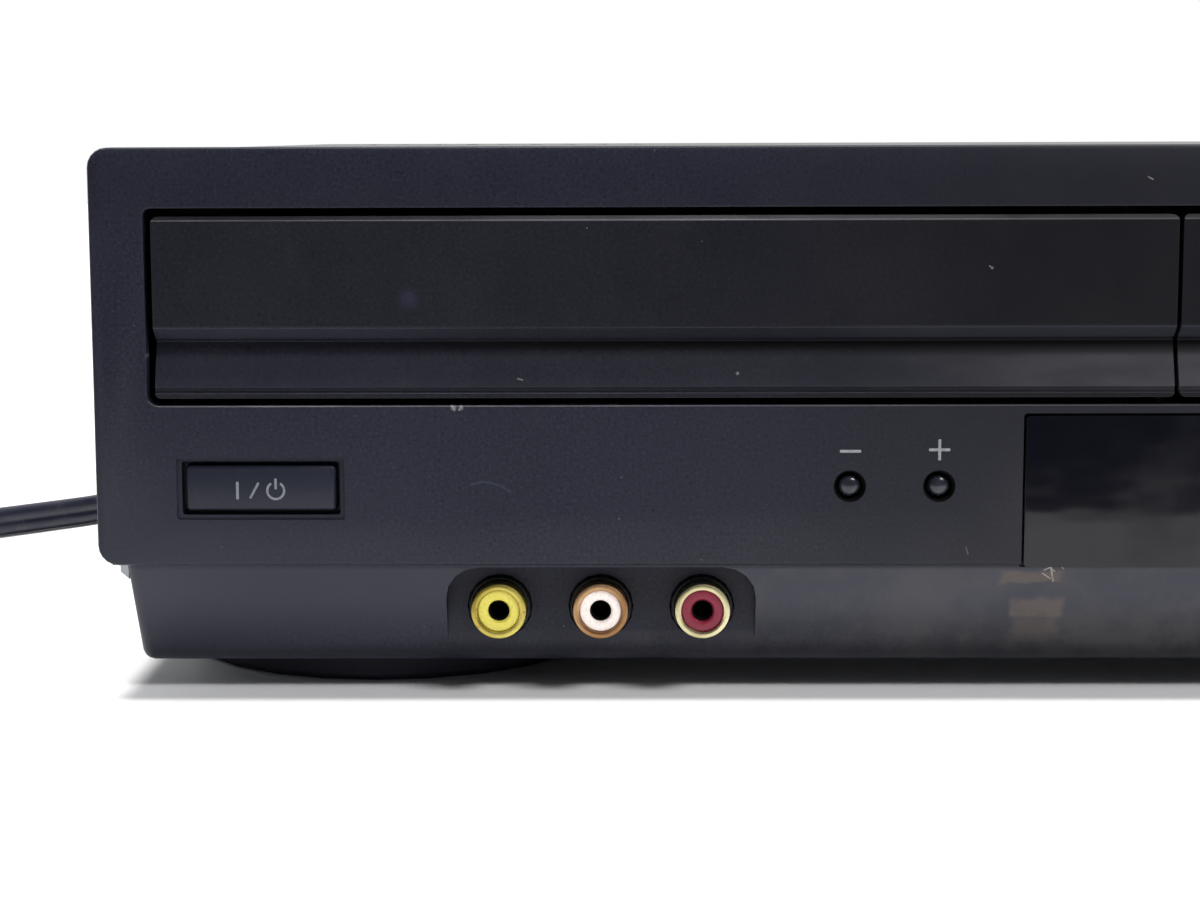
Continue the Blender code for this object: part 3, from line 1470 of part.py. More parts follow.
def make_deck():
    outline = rectangle((bay_x - deck_half, bay_x + deck_half), (deck_front_y, deck_rear_y))
    hole = circle((capstan_x, capstan_y), capstan_radius + running_gap, 12)
    window = rounded((bay_x - reel_table_radius, bay_x + reel_table_radius),
                     (reel_y - reel_table_radius, reel_y + reel_table_radius), rod_radius, rod_radius)
    deck = plate("deck_plate", [outline, hole, window], deck_bottom, deck_level)
    pins = [rod("reel_pin", (bay_x + side * reel_spacing / 2, reel_y, deck_level - sink),
                reel_height / 2, reel_pin_radius, steps=fine_steps, is_tool=True) for side in (-1, 1)]
    pins.append(rod("arm_pin", (pinch_pivot_x, pinch_pivot_y, deck_level - sink),
                    pinch_arm_level + 2 * pinch_arm_thickness - deck_level, 2 * reel_pin_radius,
                    tip=2 * reel_pin_radius, steps=fine_steps, is_tool=True))
    join(deck, together("deck_pins", pins))
    cut(deck, rod("arm_step", (pinch_pivot_x, pinch_pivot_y, pinch_arm_level - fit),
                  reel_height, 2 * reel_pin_radius + overrun, is_tool=True))
    join(deck, rod("arm_pivot", (pinch_pivot_x, pinch_pivot_y, pinch_arm_level - 2 * sink),
                   pinch_arm_thickness + 2 * sink, reel_pin_radius, steps=fine_steps, is_tool=True))
    finish_part(deck, galvanised(), False)


def make_reels():
    bore = reel_pin_radius + fit
    for name, side in (("supply_reel", -1), ("takeup_reel", 1)):
        reel = turned(name, [
            (0, reel_height), (reel_hub_radius / 2, reel_height),
            (reel_hub_radius, reel_height - reel_hub_radius / 2),
            (reel_hub_radius, reel_table_thickness + fit), (reel_table_radius, reel_table_thickness + fit),
            (reel_table_radius, fit), (bore, fit), (bore, reel_height / 2 + fit),
            (0, reel_height / 2 + fit)])
        reach = reel_hub_radius + reel_fin
        fins = []
        for i in range(3):
            fin = box("fin", (reel_hub_radius - sink, reach), (-reel_fin / 2, reel_fin / 2),
                      (reel_table_thickness + fit - sink, reel_table_thickness + reel_fin_height), True)
            fin.data.transform(Matrix.Rotation(2 * math.pi * i / 3, 4, "Z"))
            fins.append(fin)
        settle(reel)
        join(reel, together(name + "_fins", fins))
        settle(reel)
        reel.location = (bay_x + side * reel_spacing / 2, reel_y, deck_level)
        finish_part(reel, white_plastic())


def make_cassette_lift():
    top_inner = basket_top - basket_sheet
    section = sheet([(basket_half - basket_ledge, basket_bottom), (basket_half, basket_bottom),
                     (basket_half, basket_top), (-basket_half, basket_top),
                     (-basket_half, basket_bottom), (basket_ledge - basket_half, basket_bottom)],
                    basket_sheet)
    basket = plate("cassette_basket", [[(bay_x + x, z) for x, z in section]], basket_front_y,
                   basket_rear_y, FACING)
    middle = (basket_front_y + basket_rear_y) / 2
    cut(basket, box("basket_window", (bay_x - cassette_half + basket_ledge,
                                      bay_x + cassette_half - basket_ledge),
                    (middle - basket_window / 2, middle + basket_window / 2),
                    (top_inner - overrun, basket_top + overrun), True, "Z", tray_corner, 2))
    pins = [rod("pin", (bay_x + (basket_half - sink if side > 0 else -yoke_half), y,
                        basket_top - cassette_height / 3), yoke_half - basket_half + sink,
                basket_pin_radius, "X", steps=fine_steps, is_tool=True)
            for side in (-1, 1) for y in (middle - basket_window / 2, middle + basket_window / 2)]
    join(basket, together("basket_pins", pins))
    pivot(basket, (bay_x, basket_front_y, basket_bottom))
    finish_part(basket, galvanised(), False)

    foot = basket_top - cassette_height / 3 - basket_drop - 3 * basket_pin_radius
    section = sheet([(yoke_half, foot), (yoke_half, yoke_level + yoke_sheet),
                     (-yoke_half, yoke_level + yoke_sheet), (-yoke_half, foot)], yoke_sheet)
    front = basket_front_y + yoke_front_inset
    rear = front + yoke_length
    yoke = plate("basket_yoke", [[(bay_x + x, z) for x, z in section]], front, rear, FACING)
    cut(yoke, box("yoke_gap", (bay_x - yoke_inner_half + yoke_sheet, bay_x + yoke_inner_half - yoke_sheet),
                  (front - overrun, rear - yoke_bar),
                  (yoke_level - overrun, yoke_level + yoke_sheet + overrun), True))
    pin_z = basket_top - cassette_height / 3
    clear = basket_pin_radius + running_gap
    slots = [box("slot", sorted((bay_x + side * (yoke_inner_half - overrun),
                                 bay_x + side * (yoke_half + overrun))), (y - clear, y + clear),
                 (pin_z - basket_drop - clear, pin_z + clear), True)
             for side in (-1, 1) for y in (middle - basket_window / 2, middle + basket_window / 2)]
    cut(yoke, together("yoke_slots", slots))
    pivot(yoke, (bay_x, front, yoke_level))
    finish_part(yoke, bright_steel(), False)


def make_cassette_frame():
    low = deck_level + fit
    section = sheet([(frame_half, low), (frame_half, frame_level + frame_sheet),
                     (-frame_half, frame_level + frame_sheet), (-frame_half, low)], frame_sheet)
    front = basket_front_y - fit
    rear = basket_rear_y + basket_travel
    frame = plate("cassette_frame", [[(bay_x + x, z) for x, z in section]], front, rear, FACING)
    wide = frame_inner_half - frame_sheet
    cut(frame, box("frame_gap", (bay_x - wide, bay_x + wide), (front + frame_bar, rear - frame_bar),
                   (frame_level - overrun, frame_level + frame_sheet + overrun), True, "Z",
                   tray_corner, 2))
    middle = (front + rear) / 2
    height = basket_bottom + (cassette_height - frame_window_height) / 2
    windows = [box("window", sorted((bay_x + side * (frame_inner_half - overrun),
                                     bay_x + side * (frame_half + overrun))),
                   (middle - frame_window_length / 2, middle + frame_window_length / 2),
                   (height, height + frame_window_height), True, "X", tray_corner, 2)
               for side in (-1, 1)]
    cut(frame, together("frame_windows", windows))
    finish_part(frame, galvanised(), False)


def make_cassette_door():
    door = plate("cassette_door", [door_outline()], door_left, door_right, SIDEWAYS)
    cut(door, door_pocket("door_pocket", door_left, door_right), door_corners(door_left, door_right))
    necks, eyes = [], []
    neck_front = front_y + fascia_wall + running_gap
    for side, ear in zip((-1, 1), hinge_ears()):
        inner = ear[1] + running_gap if side < 0 else ear[0] - running_gap - hinge_lug
        necks.append(box("neck", (inner, inner + hinge_lug),
                         (neck_front, front_y + door_depth - fit), (door_top - sink, hinge_z), True))
        eyes.append(rod("eye", (inner, hinge_y, hinge_z), hinge_lug, hinge_eye, "X", steps=fine_steps,
                        is_tool=True))
        start = min(inner + sink, ear[0])
        end = max(inner + hinge_lug - sink, ear[1])
        eyes.append(rod("pin", (start, hinge_y, hinge_z), end - start, hinge_radius, "X", steps=fine_steps,
                        is_tool=True))
    join(door, together("hinge_necks", necks), *eyes)
    pivot(door, (bay_x, hinge_y, hinge_z))
    finish_part(door, charcoal())


def make_drum():
    tilt = Matrix.Rotation(math.radians(drum_tilt), 4, "Y")
    place = Matrix.Translation((drum_x, drum_y, deck_level + drum_radius * math.sin(
        math.radians(drum_tilt)) + drum_flange)) @ tilt
    base = rod("drum_base", (drum_x, drum_y, deck_level + fit), 2 * drum_flange, drum_flange_radius,
               steps=32)
    lower = turned("lower_drum", [
        (0, drum_base_height + drum_shaft_height), (drum_shaft_radius, drum_base_height + drum_shaft_height),
        (drum_shaft_radius, drum_base_height), (drum_radius, drum_base_height),
        (drum_radius, drum_flange), (drum_radius - drum_flange, 0), (0, 0)], 32, True)
    join(base, set_turned(lower, place))
    finish_part(base, bright_steel())

    low = drum_base_height + drum_gap
    bore = drum_shaft_radius + fit
    top = low + drum_height
    drum = turned("head_drum", [
        (0, top + drum_hub_height), (drum_hub_radius, top + drum_hub_height), (drum_hub_radius, top),
        (drum_radius - drum_flange, top), (drum_radius, top - drum_flange), (drum_radius, low),
        (bore, low), (bore, drum_base_height + drum_shaft_height + fit),
        (0, drum_base_height + drum_shaft_height + fit)], 32)
    settle(drum)
    notches = [box("notch", sorted((side * (drum_radius - drum_flange), side * (drum_radius + overrun))),
                   (-drum_flange, drum_flange), (low - overrun, low + drum_flange), True)
               for side in (-1, 1)]
    cut(drum, together("head_notches", notches))
    settle(drum)
    drum.matrix_world = place
    finish_part(drum, bright_steel())


def make_capstan():
    under = deck_bottom - flywheel_gap
    wheel = turned("capstan_flywheel", [
        (0, capstan_top), (capstan_radius, capstan_top), (capstan_radius, under),
        (flywheel_radius, under), (flywheel_radius, under - flywheel_thickness),
        (0, under - flywheel_thickness)])
    wheel.location = (capstan_x, capstan_y, 0)
    finish_part(wheel, bright_steel())

    way = math.radians(pinch_angle)
    centre = (pinch_reach * math.cos(way), pinch_reach * math.sin(way))
    half = pinch_arm_width / 2
    outline = arc(centre, half, pinch_angle - 90, pinch_angle + 90, 6)
    outline += arc((0, 0), half, pinch_angle + 90, pinch_angle + 270, 6)
    hole = circle((0, 0), reel_pin_radius + fit, 12)
    arm = plate("pinch_arm", [outline, hole], pinch_arm_level, pinch_arm_level + pinch_arm_thickness)
    join(arm, rod("roller_pin", (*centre, pinch_arm_level + pinch_arm_thickness - sink),
                  pinch_roller_height + 2 * fit, reel_pin_radius, steps=fine_steps, is_tool=True))
    settle(arm)
    arm.location = (pinch_pivot_x, pinch_pivot_y, 0)
    finish_part(arm, galvanised())
    bore = reel_pin_radius + fit
    low = pinch_arm_level + pinch_arm_thickness + fit
    roller = turned("pinch_roller", [
        (bore, low + pinch_roller_height), (pinch_roller_radius - fascia_edge, low + pinch_roller_height),
        (pinch_roller_radius, low + pinch_roller_height - fascia_edge),
        (pinch_roller_radius, low + fascia_edge), (pinch_roller_radius - fascia_edge, low),
        (bore, low)], small_steps, ring=True)
    roller.location = (pinch_pivot_x + centre[0], pinch_pivot_y + centre[1], 0)
    finish_part(roller, material("rubber", (0.02, 0.02, 0.02), 0.8))

    x, y = bay_x + head_x_offset, drum_y + head_behind
    head = box("audio_head", (x, x + head_width), (y, y + head_depth),
               (deck_level + fit, deck_level + head_height), False, "Z", rod_radius, 3)
    join(head, box("head_foot", (x - head_depth / 2, x + head_width + head_depth / 2),
                   (y - sink, y + head_depth + sink), (deck_level + fit, deck_level + drum_flange), True))
    finish_part(head, bright_steel())


def smooth_curve(points, spacing):
    """Read a Catmull-Rom curve through the points at about even steps."""
    fine = []
    nodes = [Vector(p) for p in points]
    first = nodes[0] * 2 - nodes[1]
    last = nodes[-1] * 2 - nodes[-2]
    padded = [first] + nodes + [last]
    steps = 12
    for a, b, c, d in zip(padded, padded[1:], padded[2:], padded[3:]):
        for i in range(steps):
            t = i / steps
            fine.append(0.5 * (2 * b + (c - a) * t + (2 * a - 5 * b + 4 * c - d) * t * t
                               + (3 * b - a - 3 * c + d) * t ** 3))
    fine.append(nodes[-1])
    kept = [fine[0]]
    travelled = 0.0
    for before, after in zip(fine, fine[1:]):
        travelled += (after - before).length
        if travelled >= spacing:
            kept.append(after)
            travelled = 0.0
    if (kept[-1] - fine[-1]).length < spacing / 2:
        kept.pop()
    return kept + [fine[-1]]


def coil_points():
    """The wound cord: spirals in on the table, climbs a layer and spirals out above."""
    low = cord_radius + cord_lift
    rise = coil_pitch
    count = round(coil_turns * coil_steps)
    points = []
    for i in range(count + 1):
        turn = coil_turns * i / count
        inward = min(turn, coil_turns - turn)
        radius = coil_radius - coil_pitch * inward
        climb = min(1.0, max(0.0, (turn - coil_turns / 2) * 2 + 0.5))
        height = low + rise * climb * climb * (3 - 2 * climb)
        angle = math.radians(coil_start_angle) - 2 * math.pi * turn
        points.append(Vector((coil_centre_x + radius * math.cos(angle),
                              coil_centre_y + radius * math.sin(angle), height)))
    return points


def coil_heading(points, end):
    """Direction of travel at the start or the end of the wound cord."""
    step = points[1] - points[0] if end == 0 else points[-1] - points[-2]
    return Vector((step.x, step.y, 0)).normalized()


def tail_points(points):
    """The end that leaves the top layer and comes down to the plug on the table."""
    way = coil_heading(points, 1)
    drop = points[-1].z - plug_height / 2
    tail = []
    count = 4
    for i in range(1, count + 1):
        share = i / count
        fall = min(1.0, share / 0.75)
        tail.append(points[-1] + way * tail_length * share
                    - Vector((0, 0, drop * fall * fall * (3 - 2 * fall))))
    return tail


def least_gap(points):
    """Least space between turns that aren't neighbours along the cord."""
    skip = int(3 * cord_diameter / (points[1] - points[0]).length) + 2
    nearest = unit_width
    for i, here in enumerate(points):
        for start, end in zip(points[i + skip:], points[i + skip + 1:]):
            spot, share = geometry.intersect_point_line(here, start, end)
            share = min(1.0, max(0.0, share))
            nearest = min(nearest, (here - start.lerp(end, share)).length)
    return nearest - cord_diameter


def tube(name, points, resolution):
    curve = bpy.data.curves.new(name, "CURVE")
    curve.dimensions = "3D"
    curve.bevel_depth = cord_radius
    curve.bevel_resolution = resolution
    curve.use_fill_caps = True
    spline = curve.splines.new("POLY")
    spline.points.add(len(points) - 1)
    for slot, point in zip(spline.points, points):
        slot.co = (*point, 1)
    obj = bpy.data.objects.new(name, curve)
    parts.objects.link(obj)
    made = as_mesh(obj, name, FLAT, False)
    return finish_part(made, material("cord_jacket", (0.015, 0.016, 0.02), 0.45), True)


def make_cord():
    facing = Matrix.Rotation(-math.pi / 2, 4, "X")
    bore = cord_radius + cord_lift
    tip = bore + relief_tip_wall
    inside = rear_sheet + fit + relief_flange
    start = cord_route[0][1] - rear_face_y - fit
    relief = turned("cord_strain_relief", [
        (0, start), (tip - sink / 2, start), (tip, start - sink / 2),
        (relief_root_radius, fit + relief_flange), (relief_flange_radius, fit + relief_flange),
        (relief_flange_radius, fit), (relief_root_radius, fit),
        (relief_root_radius, -inside), (0, -inside)])
    set_turned(relief, Matrix.Translation((cord_exit_x, rear_face_y, cord_exit_z)) @ facing)
    finish_part(relief, black_plastic())

    wound = coil_points()
    way = coil_heading(wound, 0)
    lead = way * cord_diameter
    exit_point = Vector(cord_route[0])
    far = wound[0] - 2 * lead - way * fit
    route = smooth_curve(cord_route[1:] + [tuple(far)], cord_spacing)
    route = [exit_point] + route + [far + lead]
    tube("mains_cord", route, 2)
    whole = [wound[0] - lead] + wound + tail_points(wound)
    print("coil: least gap to itself %.2f mm" % (least_gap(whole) * 1000))
    tube("mains_cord_coil", whole, 1)
    run = sum((b - a).length for a, b in zip(route, route[1:]))
    turns = sum((b - a).length for a, b in zip(whole, whole[1:]))
    print("cord: free run %.0f mm, wound %.0f mm" % (run * 1000, turns * 1000))
    make_plug(whole[-1], (whole[-1] - whole[-2]).normalized())


def make_plug(end, heading):
    way = Vector((heading.x, heading.y, 0)).normalized()
    across = Vector((-way.y, way.x, 0))
    place = Matrix((
        (way.x, across.x, 0, end.x), (way.y, across.y, 0, end.y), (0, 0, 1, end.z), (0, 0, 0, 1)))
    sections = ((fit, plug_neck, plug_neck), (plug_length / 3, plug_neck * 1.15, plug_neck * 1.1),
                (plug_length / 2, plug_width * 0.95, plug_height * 0.95),
                (plug_length * 0.95, plug_width, plug_height),
                (plug_length, plug_width * 0.94, plug_height * 0.93))
    rings = []
    for along, wide, tall in sections:
        corner = min(wide, tall) / 3
        ring = rounded((-wide / 2, wide / 2), (-tall / 2, tall / 2), corner, corner, 3)
        rings.append([place @ Vector((along, u, v)) for u, v in ring])
    plug = loft("mains_plug", rings)
    finish_part(plug, material("plug_rubber", (0.015, 0.015, 0.017), 0.5))
    for name, side in (("plug_blade_left", 1), ("plug_blade_right", -1)):
        middle = side * blade_pitch / 2
        blade = box(name, (plug_length + fit, plug_length + fit + blade_length),
                    (middle - blade_thickness / 2, middle + blade_thickness / 2),
                    (-blade_width / 2, blade_width / 2), False, "Y", blade_thickness, 2)
        blade.matrix_world = place
        finish_part(blade, material("plug_brass", (0.70, 0.55, 0.28), 0.3, 1.0), False)


make_front_bezel()
make_display()
make_front_board()
make_keys()
make_front_sockets()
make_cover()
make_chassis()
make_rear_panel()
make_feet()
make_main_board()
make_power_board()
make_rear_sockets()
make_loader()
make_tray()
make_tray_gear()
make_clamp()
make_traverse()
make_deck()
make_reels()
make_cassette_lift()
make_cassette_frame()
make_cassette_door()
make_drum()
make_capstan()
make_cord()
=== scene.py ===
"""Looks of a home disc and tape player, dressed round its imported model. Metres, +Z up, front at -Y."""
import functools
import json
import math

import bmesh
import bpy
from mathutils import Matrix, Vector


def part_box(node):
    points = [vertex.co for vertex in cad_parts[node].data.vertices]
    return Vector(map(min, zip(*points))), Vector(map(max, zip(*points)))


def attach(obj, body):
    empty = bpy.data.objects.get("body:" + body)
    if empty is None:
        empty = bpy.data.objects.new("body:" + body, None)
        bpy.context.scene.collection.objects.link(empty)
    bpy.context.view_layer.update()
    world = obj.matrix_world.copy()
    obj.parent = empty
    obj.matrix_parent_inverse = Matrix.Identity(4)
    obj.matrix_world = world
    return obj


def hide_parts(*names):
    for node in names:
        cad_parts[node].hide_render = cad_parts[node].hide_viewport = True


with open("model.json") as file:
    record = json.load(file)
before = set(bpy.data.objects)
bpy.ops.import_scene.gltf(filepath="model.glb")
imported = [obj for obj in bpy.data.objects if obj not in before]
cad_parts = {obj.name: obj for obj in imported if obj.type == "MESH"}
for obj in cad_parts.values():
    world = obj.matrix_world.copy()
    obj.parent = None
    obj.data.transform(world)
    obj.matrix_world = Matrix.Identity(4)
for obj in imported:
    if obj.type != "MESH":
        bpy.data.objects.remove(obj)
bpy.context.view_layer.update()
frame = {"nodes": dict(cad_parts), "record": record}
nodes = frame["nodes"]
scene = bpy.context.scene
MM = 0.001
WHITE = (1.0, 1.0, 1.0, 1.0)


def tone(red, green, blue):
    """Colour given as it shows on a screen, 0 to 255, turned into linear light."""
    def linear(level):
        share = level / 255
        return share / 12.92 if share <= 0.04045 else ((share + 0.055) / 1.055) ** 2.4
    return (linear(red), linear(green), linear(blue), 1.0)


def linked(name, data):
    """An object that shows this data, linked to the scene."""
    made = bpy.data.objects.new(name, data)
    scene.collection.objects.link(made)
    return made


def set_inputs(node, **values):
    """Sets a node's sockets; an underscore stands for a space in their names."""
    for name, value in values.items():
        node.inputs[name.replace("_", " ")].default_value = value


# camera, floor and light

LENS, SENSOR, NEAR_CLIP = 72.0, 36.0, 0.01
CAMERA_PLACE = (-0.13614, -0.48169, 0.08361)
CAMERA_TURN, CAMERA_DIP, CAMERA_LEAN = 0.727, 7.482, -0.182

FLOOR_REACH = 14.0
WALL_REACH, WALL_Y, WALL_FOOT = 4.0, 2.5, -0.05
FLAG_REACH, FLAG_FRONT, FLAG_REAR, FLAG_LIFT = 1.5, -3.0, -0.314, 0.001
SKY_COLOUR, SKY_STRENGTH = (0.93, 0.96, 1.0, 1.0), 0.14
KEY_LIGHT = {"energy": 4.5, "angle": math.radians(17.0), "color": (1.0, 0.985, 0.96)}
KEY_AIM = Vector((0.05, 0.0, -1.0))
SOFT_LIGHT = {"shape": "RECTANGLE", "size": 0.8, "size_y": 0.5, "energy": 27.0}
SOFT_PLACE, SOFT_TARGET = Vector((0.90, -1.10, 1.50)), Vector((0.0, -0.13, 0.05))


def rotation(degrees, axis):
    return Matrix.Rotation(math.radians(degrees), 4, axis)


def make_camera():
    lens = bpy.data.cameras.new("camera")
    lens.lens = LENS
    lens.sensor_width = SENSOR
    lens.clip_start = NEAR_CLIP
    camera = linked("camera", lens)
    camera.matrix_world = (Matrix.Translation(CAMERA_PLACE) @ rotation(CAMERA_TURN, "Z")
                           @ rotation(90 - CAMERA_DIP, "X") @ rotation(CAMERA_LEAN, "Z"))
    scene.camera = camera


def stage_sheet(name, corners, material, unseen_by=()):
    """A flat sheet of the studio, which isn't part of the object, hidden from some kinds of ray."""
    mesh = bpy.data.meshes.new(name)
    mesh.from_pydata(corners, [], [tuple(range(len(corners)))])
    mesh.materials.append(material)
    sheet = linked(name, mesh)
    for ray in unseen_by:
        setattr(sheet, "visible_" + ray, False)


def plain_material(name, colour, roughness):
    material = bpy.data.materials.new(name)
    material.use_nodes = True
    set_inputs(material.node_tree.nodes["Principled BSDF"], Base_Color=colour, Roughness=roughness)
    return material


def glow_material(name):
    material = bpy.data.materials.new(name)
    material.use_nodes = True
    tree = material.node_tree
    tree.nodes.remove(tree.nodes["Principled BSDF"])
    glow = tree.nodes.new("ShaderNodeEmission")
    set_inputs(glow, Color=WHITE, Strength=1.0)
    tree.links.new(glow.outputs[0], tree.nodes["Material Output"].inputs["Surface"])
    return material


def level_sheet(x_reach, y_low, y_high, z):
    return [(-x_reach, y_low, z), (x_reach, y_low, z), (x_reach, y_high, z), (-x_reach, y_high, z)]


def make_sheets():
    """The floor, a white wall behind and a dark flag in front that only glossy faces see."""
    stage_sheet("floor", level_sheet(FLOOR_REACH, -FLOOR_REACH, FLOOR_REACH, 0),
                plain_material("studio_floor", (0.86, 0.86, 0.87, 1.0), 0.6))
    wall = [(-WALL_REACH, WALL_Y, WALL_FOOT), (WALL_REACH, WALL_Y, WALL_FOOT),
            (WALL_REACH, WALL_Y, WALL_REACH), (-WALL_REACH, WALL_Y, WALL_REACH)]
    unseen = ("diffuse", "transmission", "shadow")
    stage_sheet("backdrop", wall, glow_material("studio_backdrop"), unseen)
    stage_sheet("flag", level_sheet(FLAG_REACH, FLAG_FRONT, FLAG_REAR, FLAG_LIFT),
                plain_material("studio_flag", (0.01, 0.01, 0.012, 1.0), 0.9), ("camera",) + unseen)


def make_world():
    """A faint sky that lights the scene; the camera sees plain white in its place."""
    world = bpy.data.worlds.new("studio")
    scene.world = world
    world.use_nodes = True
    tree = world.node_tree
    sky = tree.nodes["Background"]
    plain = tree.nodes.new("ShaderNodeBackground")
    set_inputs(sky, Color=SKY_COLOUR, Strength=SKY_STRENGTH)
    set_inputs(plain, Color=WHITE, Strength=1.0)
    rays = tree.nodes.new("ShaderNodeLightPath")
    mix = tree.nodes.new("ShaderNodeMixShader")
    for source, target in zip((rays.outputs["Is Camera Ray"], sky.outputs[0], plain.outputs[0]), mix.inputs):
        tree.links.new(source, target)
    tree.links.new(mix.outputs[0], tree.nodes["World Output"].inputs["Surface"])


def make_light(name, kind, place, aim, settings):
    data = bpy.data.lights.new(name, kind)
    for setting, value in settings.items():
        setattr(data, setting, value)
    light = linked(name, data)
    light.location = place
    light.rotation_euler = aim.to_track_quat("-Z", "Y").to_euler()


def make_studio():
    make_sheets()
    make_world()
    make_light("key", "SUN", (0.0, 0.0, 0.0), KEY_AIM, KEY_LIGHT)
    make_light("soft", "AREA", SOFT_PLACE, SOFT_TARGET - SOFT_PLACE, SOFT_LIGHT)
    scene.view_settings.view_transform = "Standard"


# mesh helpers

def mesh_of(name, points, faces):
    mesh = bpy.data.meshes.new(name)
    mesh.from_pydata([tuple(p) for p in points], [], faces)
    build = bmesh.new()
    build.from_mesh(mesh)
    bmesh.ops.recalc_face_normals(build, faces=build.faces[:])
    build.to_mesh(mesh)
    build.free()
    return mesh


def merge(groups):
    """Puts several (points, faces) groups into one."""
    points, faces = [], []
    for some, theirs in groups:
        base = len(points)
        points += some
        faces += [tuple(base + i for i in face) for face in theirs]
    return points, faces


def add_piece(name, groups, slot, material=None, smooth_angle=35.0, body="case"):
    """Makes a piece of (points, faces) groups that are already in the frame, riding on a body."""
    mesh = mesh_of(name, *merge(groups))
    mesh.shade_smooth()
    mesh.set_sharp_from_angle(angle=math.radians(smooth_angle))
    mesh.materials.append(material or MATERIALS[slot])
    piece = linked(name, mesh)
    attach(piece, body)
    return piece


def skin(rings, closed=False):
    """Points and faces of a tube through equal rings of points, with flat ends unless it is closed."""
    count = len(rings[0])
    points = [p for ring in rings for p in ring]
    faces = []
    for i in range(len(rings) if closed else len(rings) - 1):
        low, high = i * count, ((i + 1) % len(rings)) * count
        for j in range(count):
            k = (j + 1) % count
            faces.append((low + j, low + k, high + k, high + j))
    if not closed:
        faces.append(tuple(range(count))[::-1])
        faces.append(tuple(range((len(rings) - 1) * count, len(rings) * count)))
    return points, faces


def circle(radius, count):
    """Points of a circle, as (across, up)."""
    return [(radius * math.cos(2 * math.pi * i / count), radius * math.sin(2 * math.pi * i / count))
            for i in range(count)]


def turned(profile, place, steps=48):
    """A solid of revolution: profile is (radius, along) in millimetres, round the local Z axis of place."""
    rings = [[place @ Vector((u, v, along * MM)) for u, v in circle(radius * MM, steps)]
             for radius, along in profile]
    if profile[0][0] > 0 and profile[0] == profile[-1]:
        return skin(rings[:-1], closed=True)
    return skin(rings)


def stack(place, outline, levels):
    """Rings of an outline in millimetres, one for each (scale, along) on the local Z axis of place."""
    return [[place @ Vector((u * scale * MM, v * scale * MM, along * MM)) for u, v in outline]
            for scale, along in levels]


FACING_FRONT = Matrix(((1, 0, 0, 0), (0, 0, -1, 0), (0, 1, 0, 0), (0, 0, 0, 1)))
FACING_REAR = Matrix(((-1, 0, 0, 0), (0, 0, 1, 0), (0, 1, 0, 0), (0, 0, 0, 1)))


def at_front(x, y, z):
    """A place whose local Z axis points to the viewer in front."""
    return Matrix.Translation((x, y, z)) @ FACING_FRONT


def at_rear(x, y, z):
    """A place whose local Z axis points away behind."""
    return Matrix.Translation((x, y, z)) @ FACING_REAR


def middle_of(name):
    low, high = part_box(name)
    return (low + high) / 2


# materials

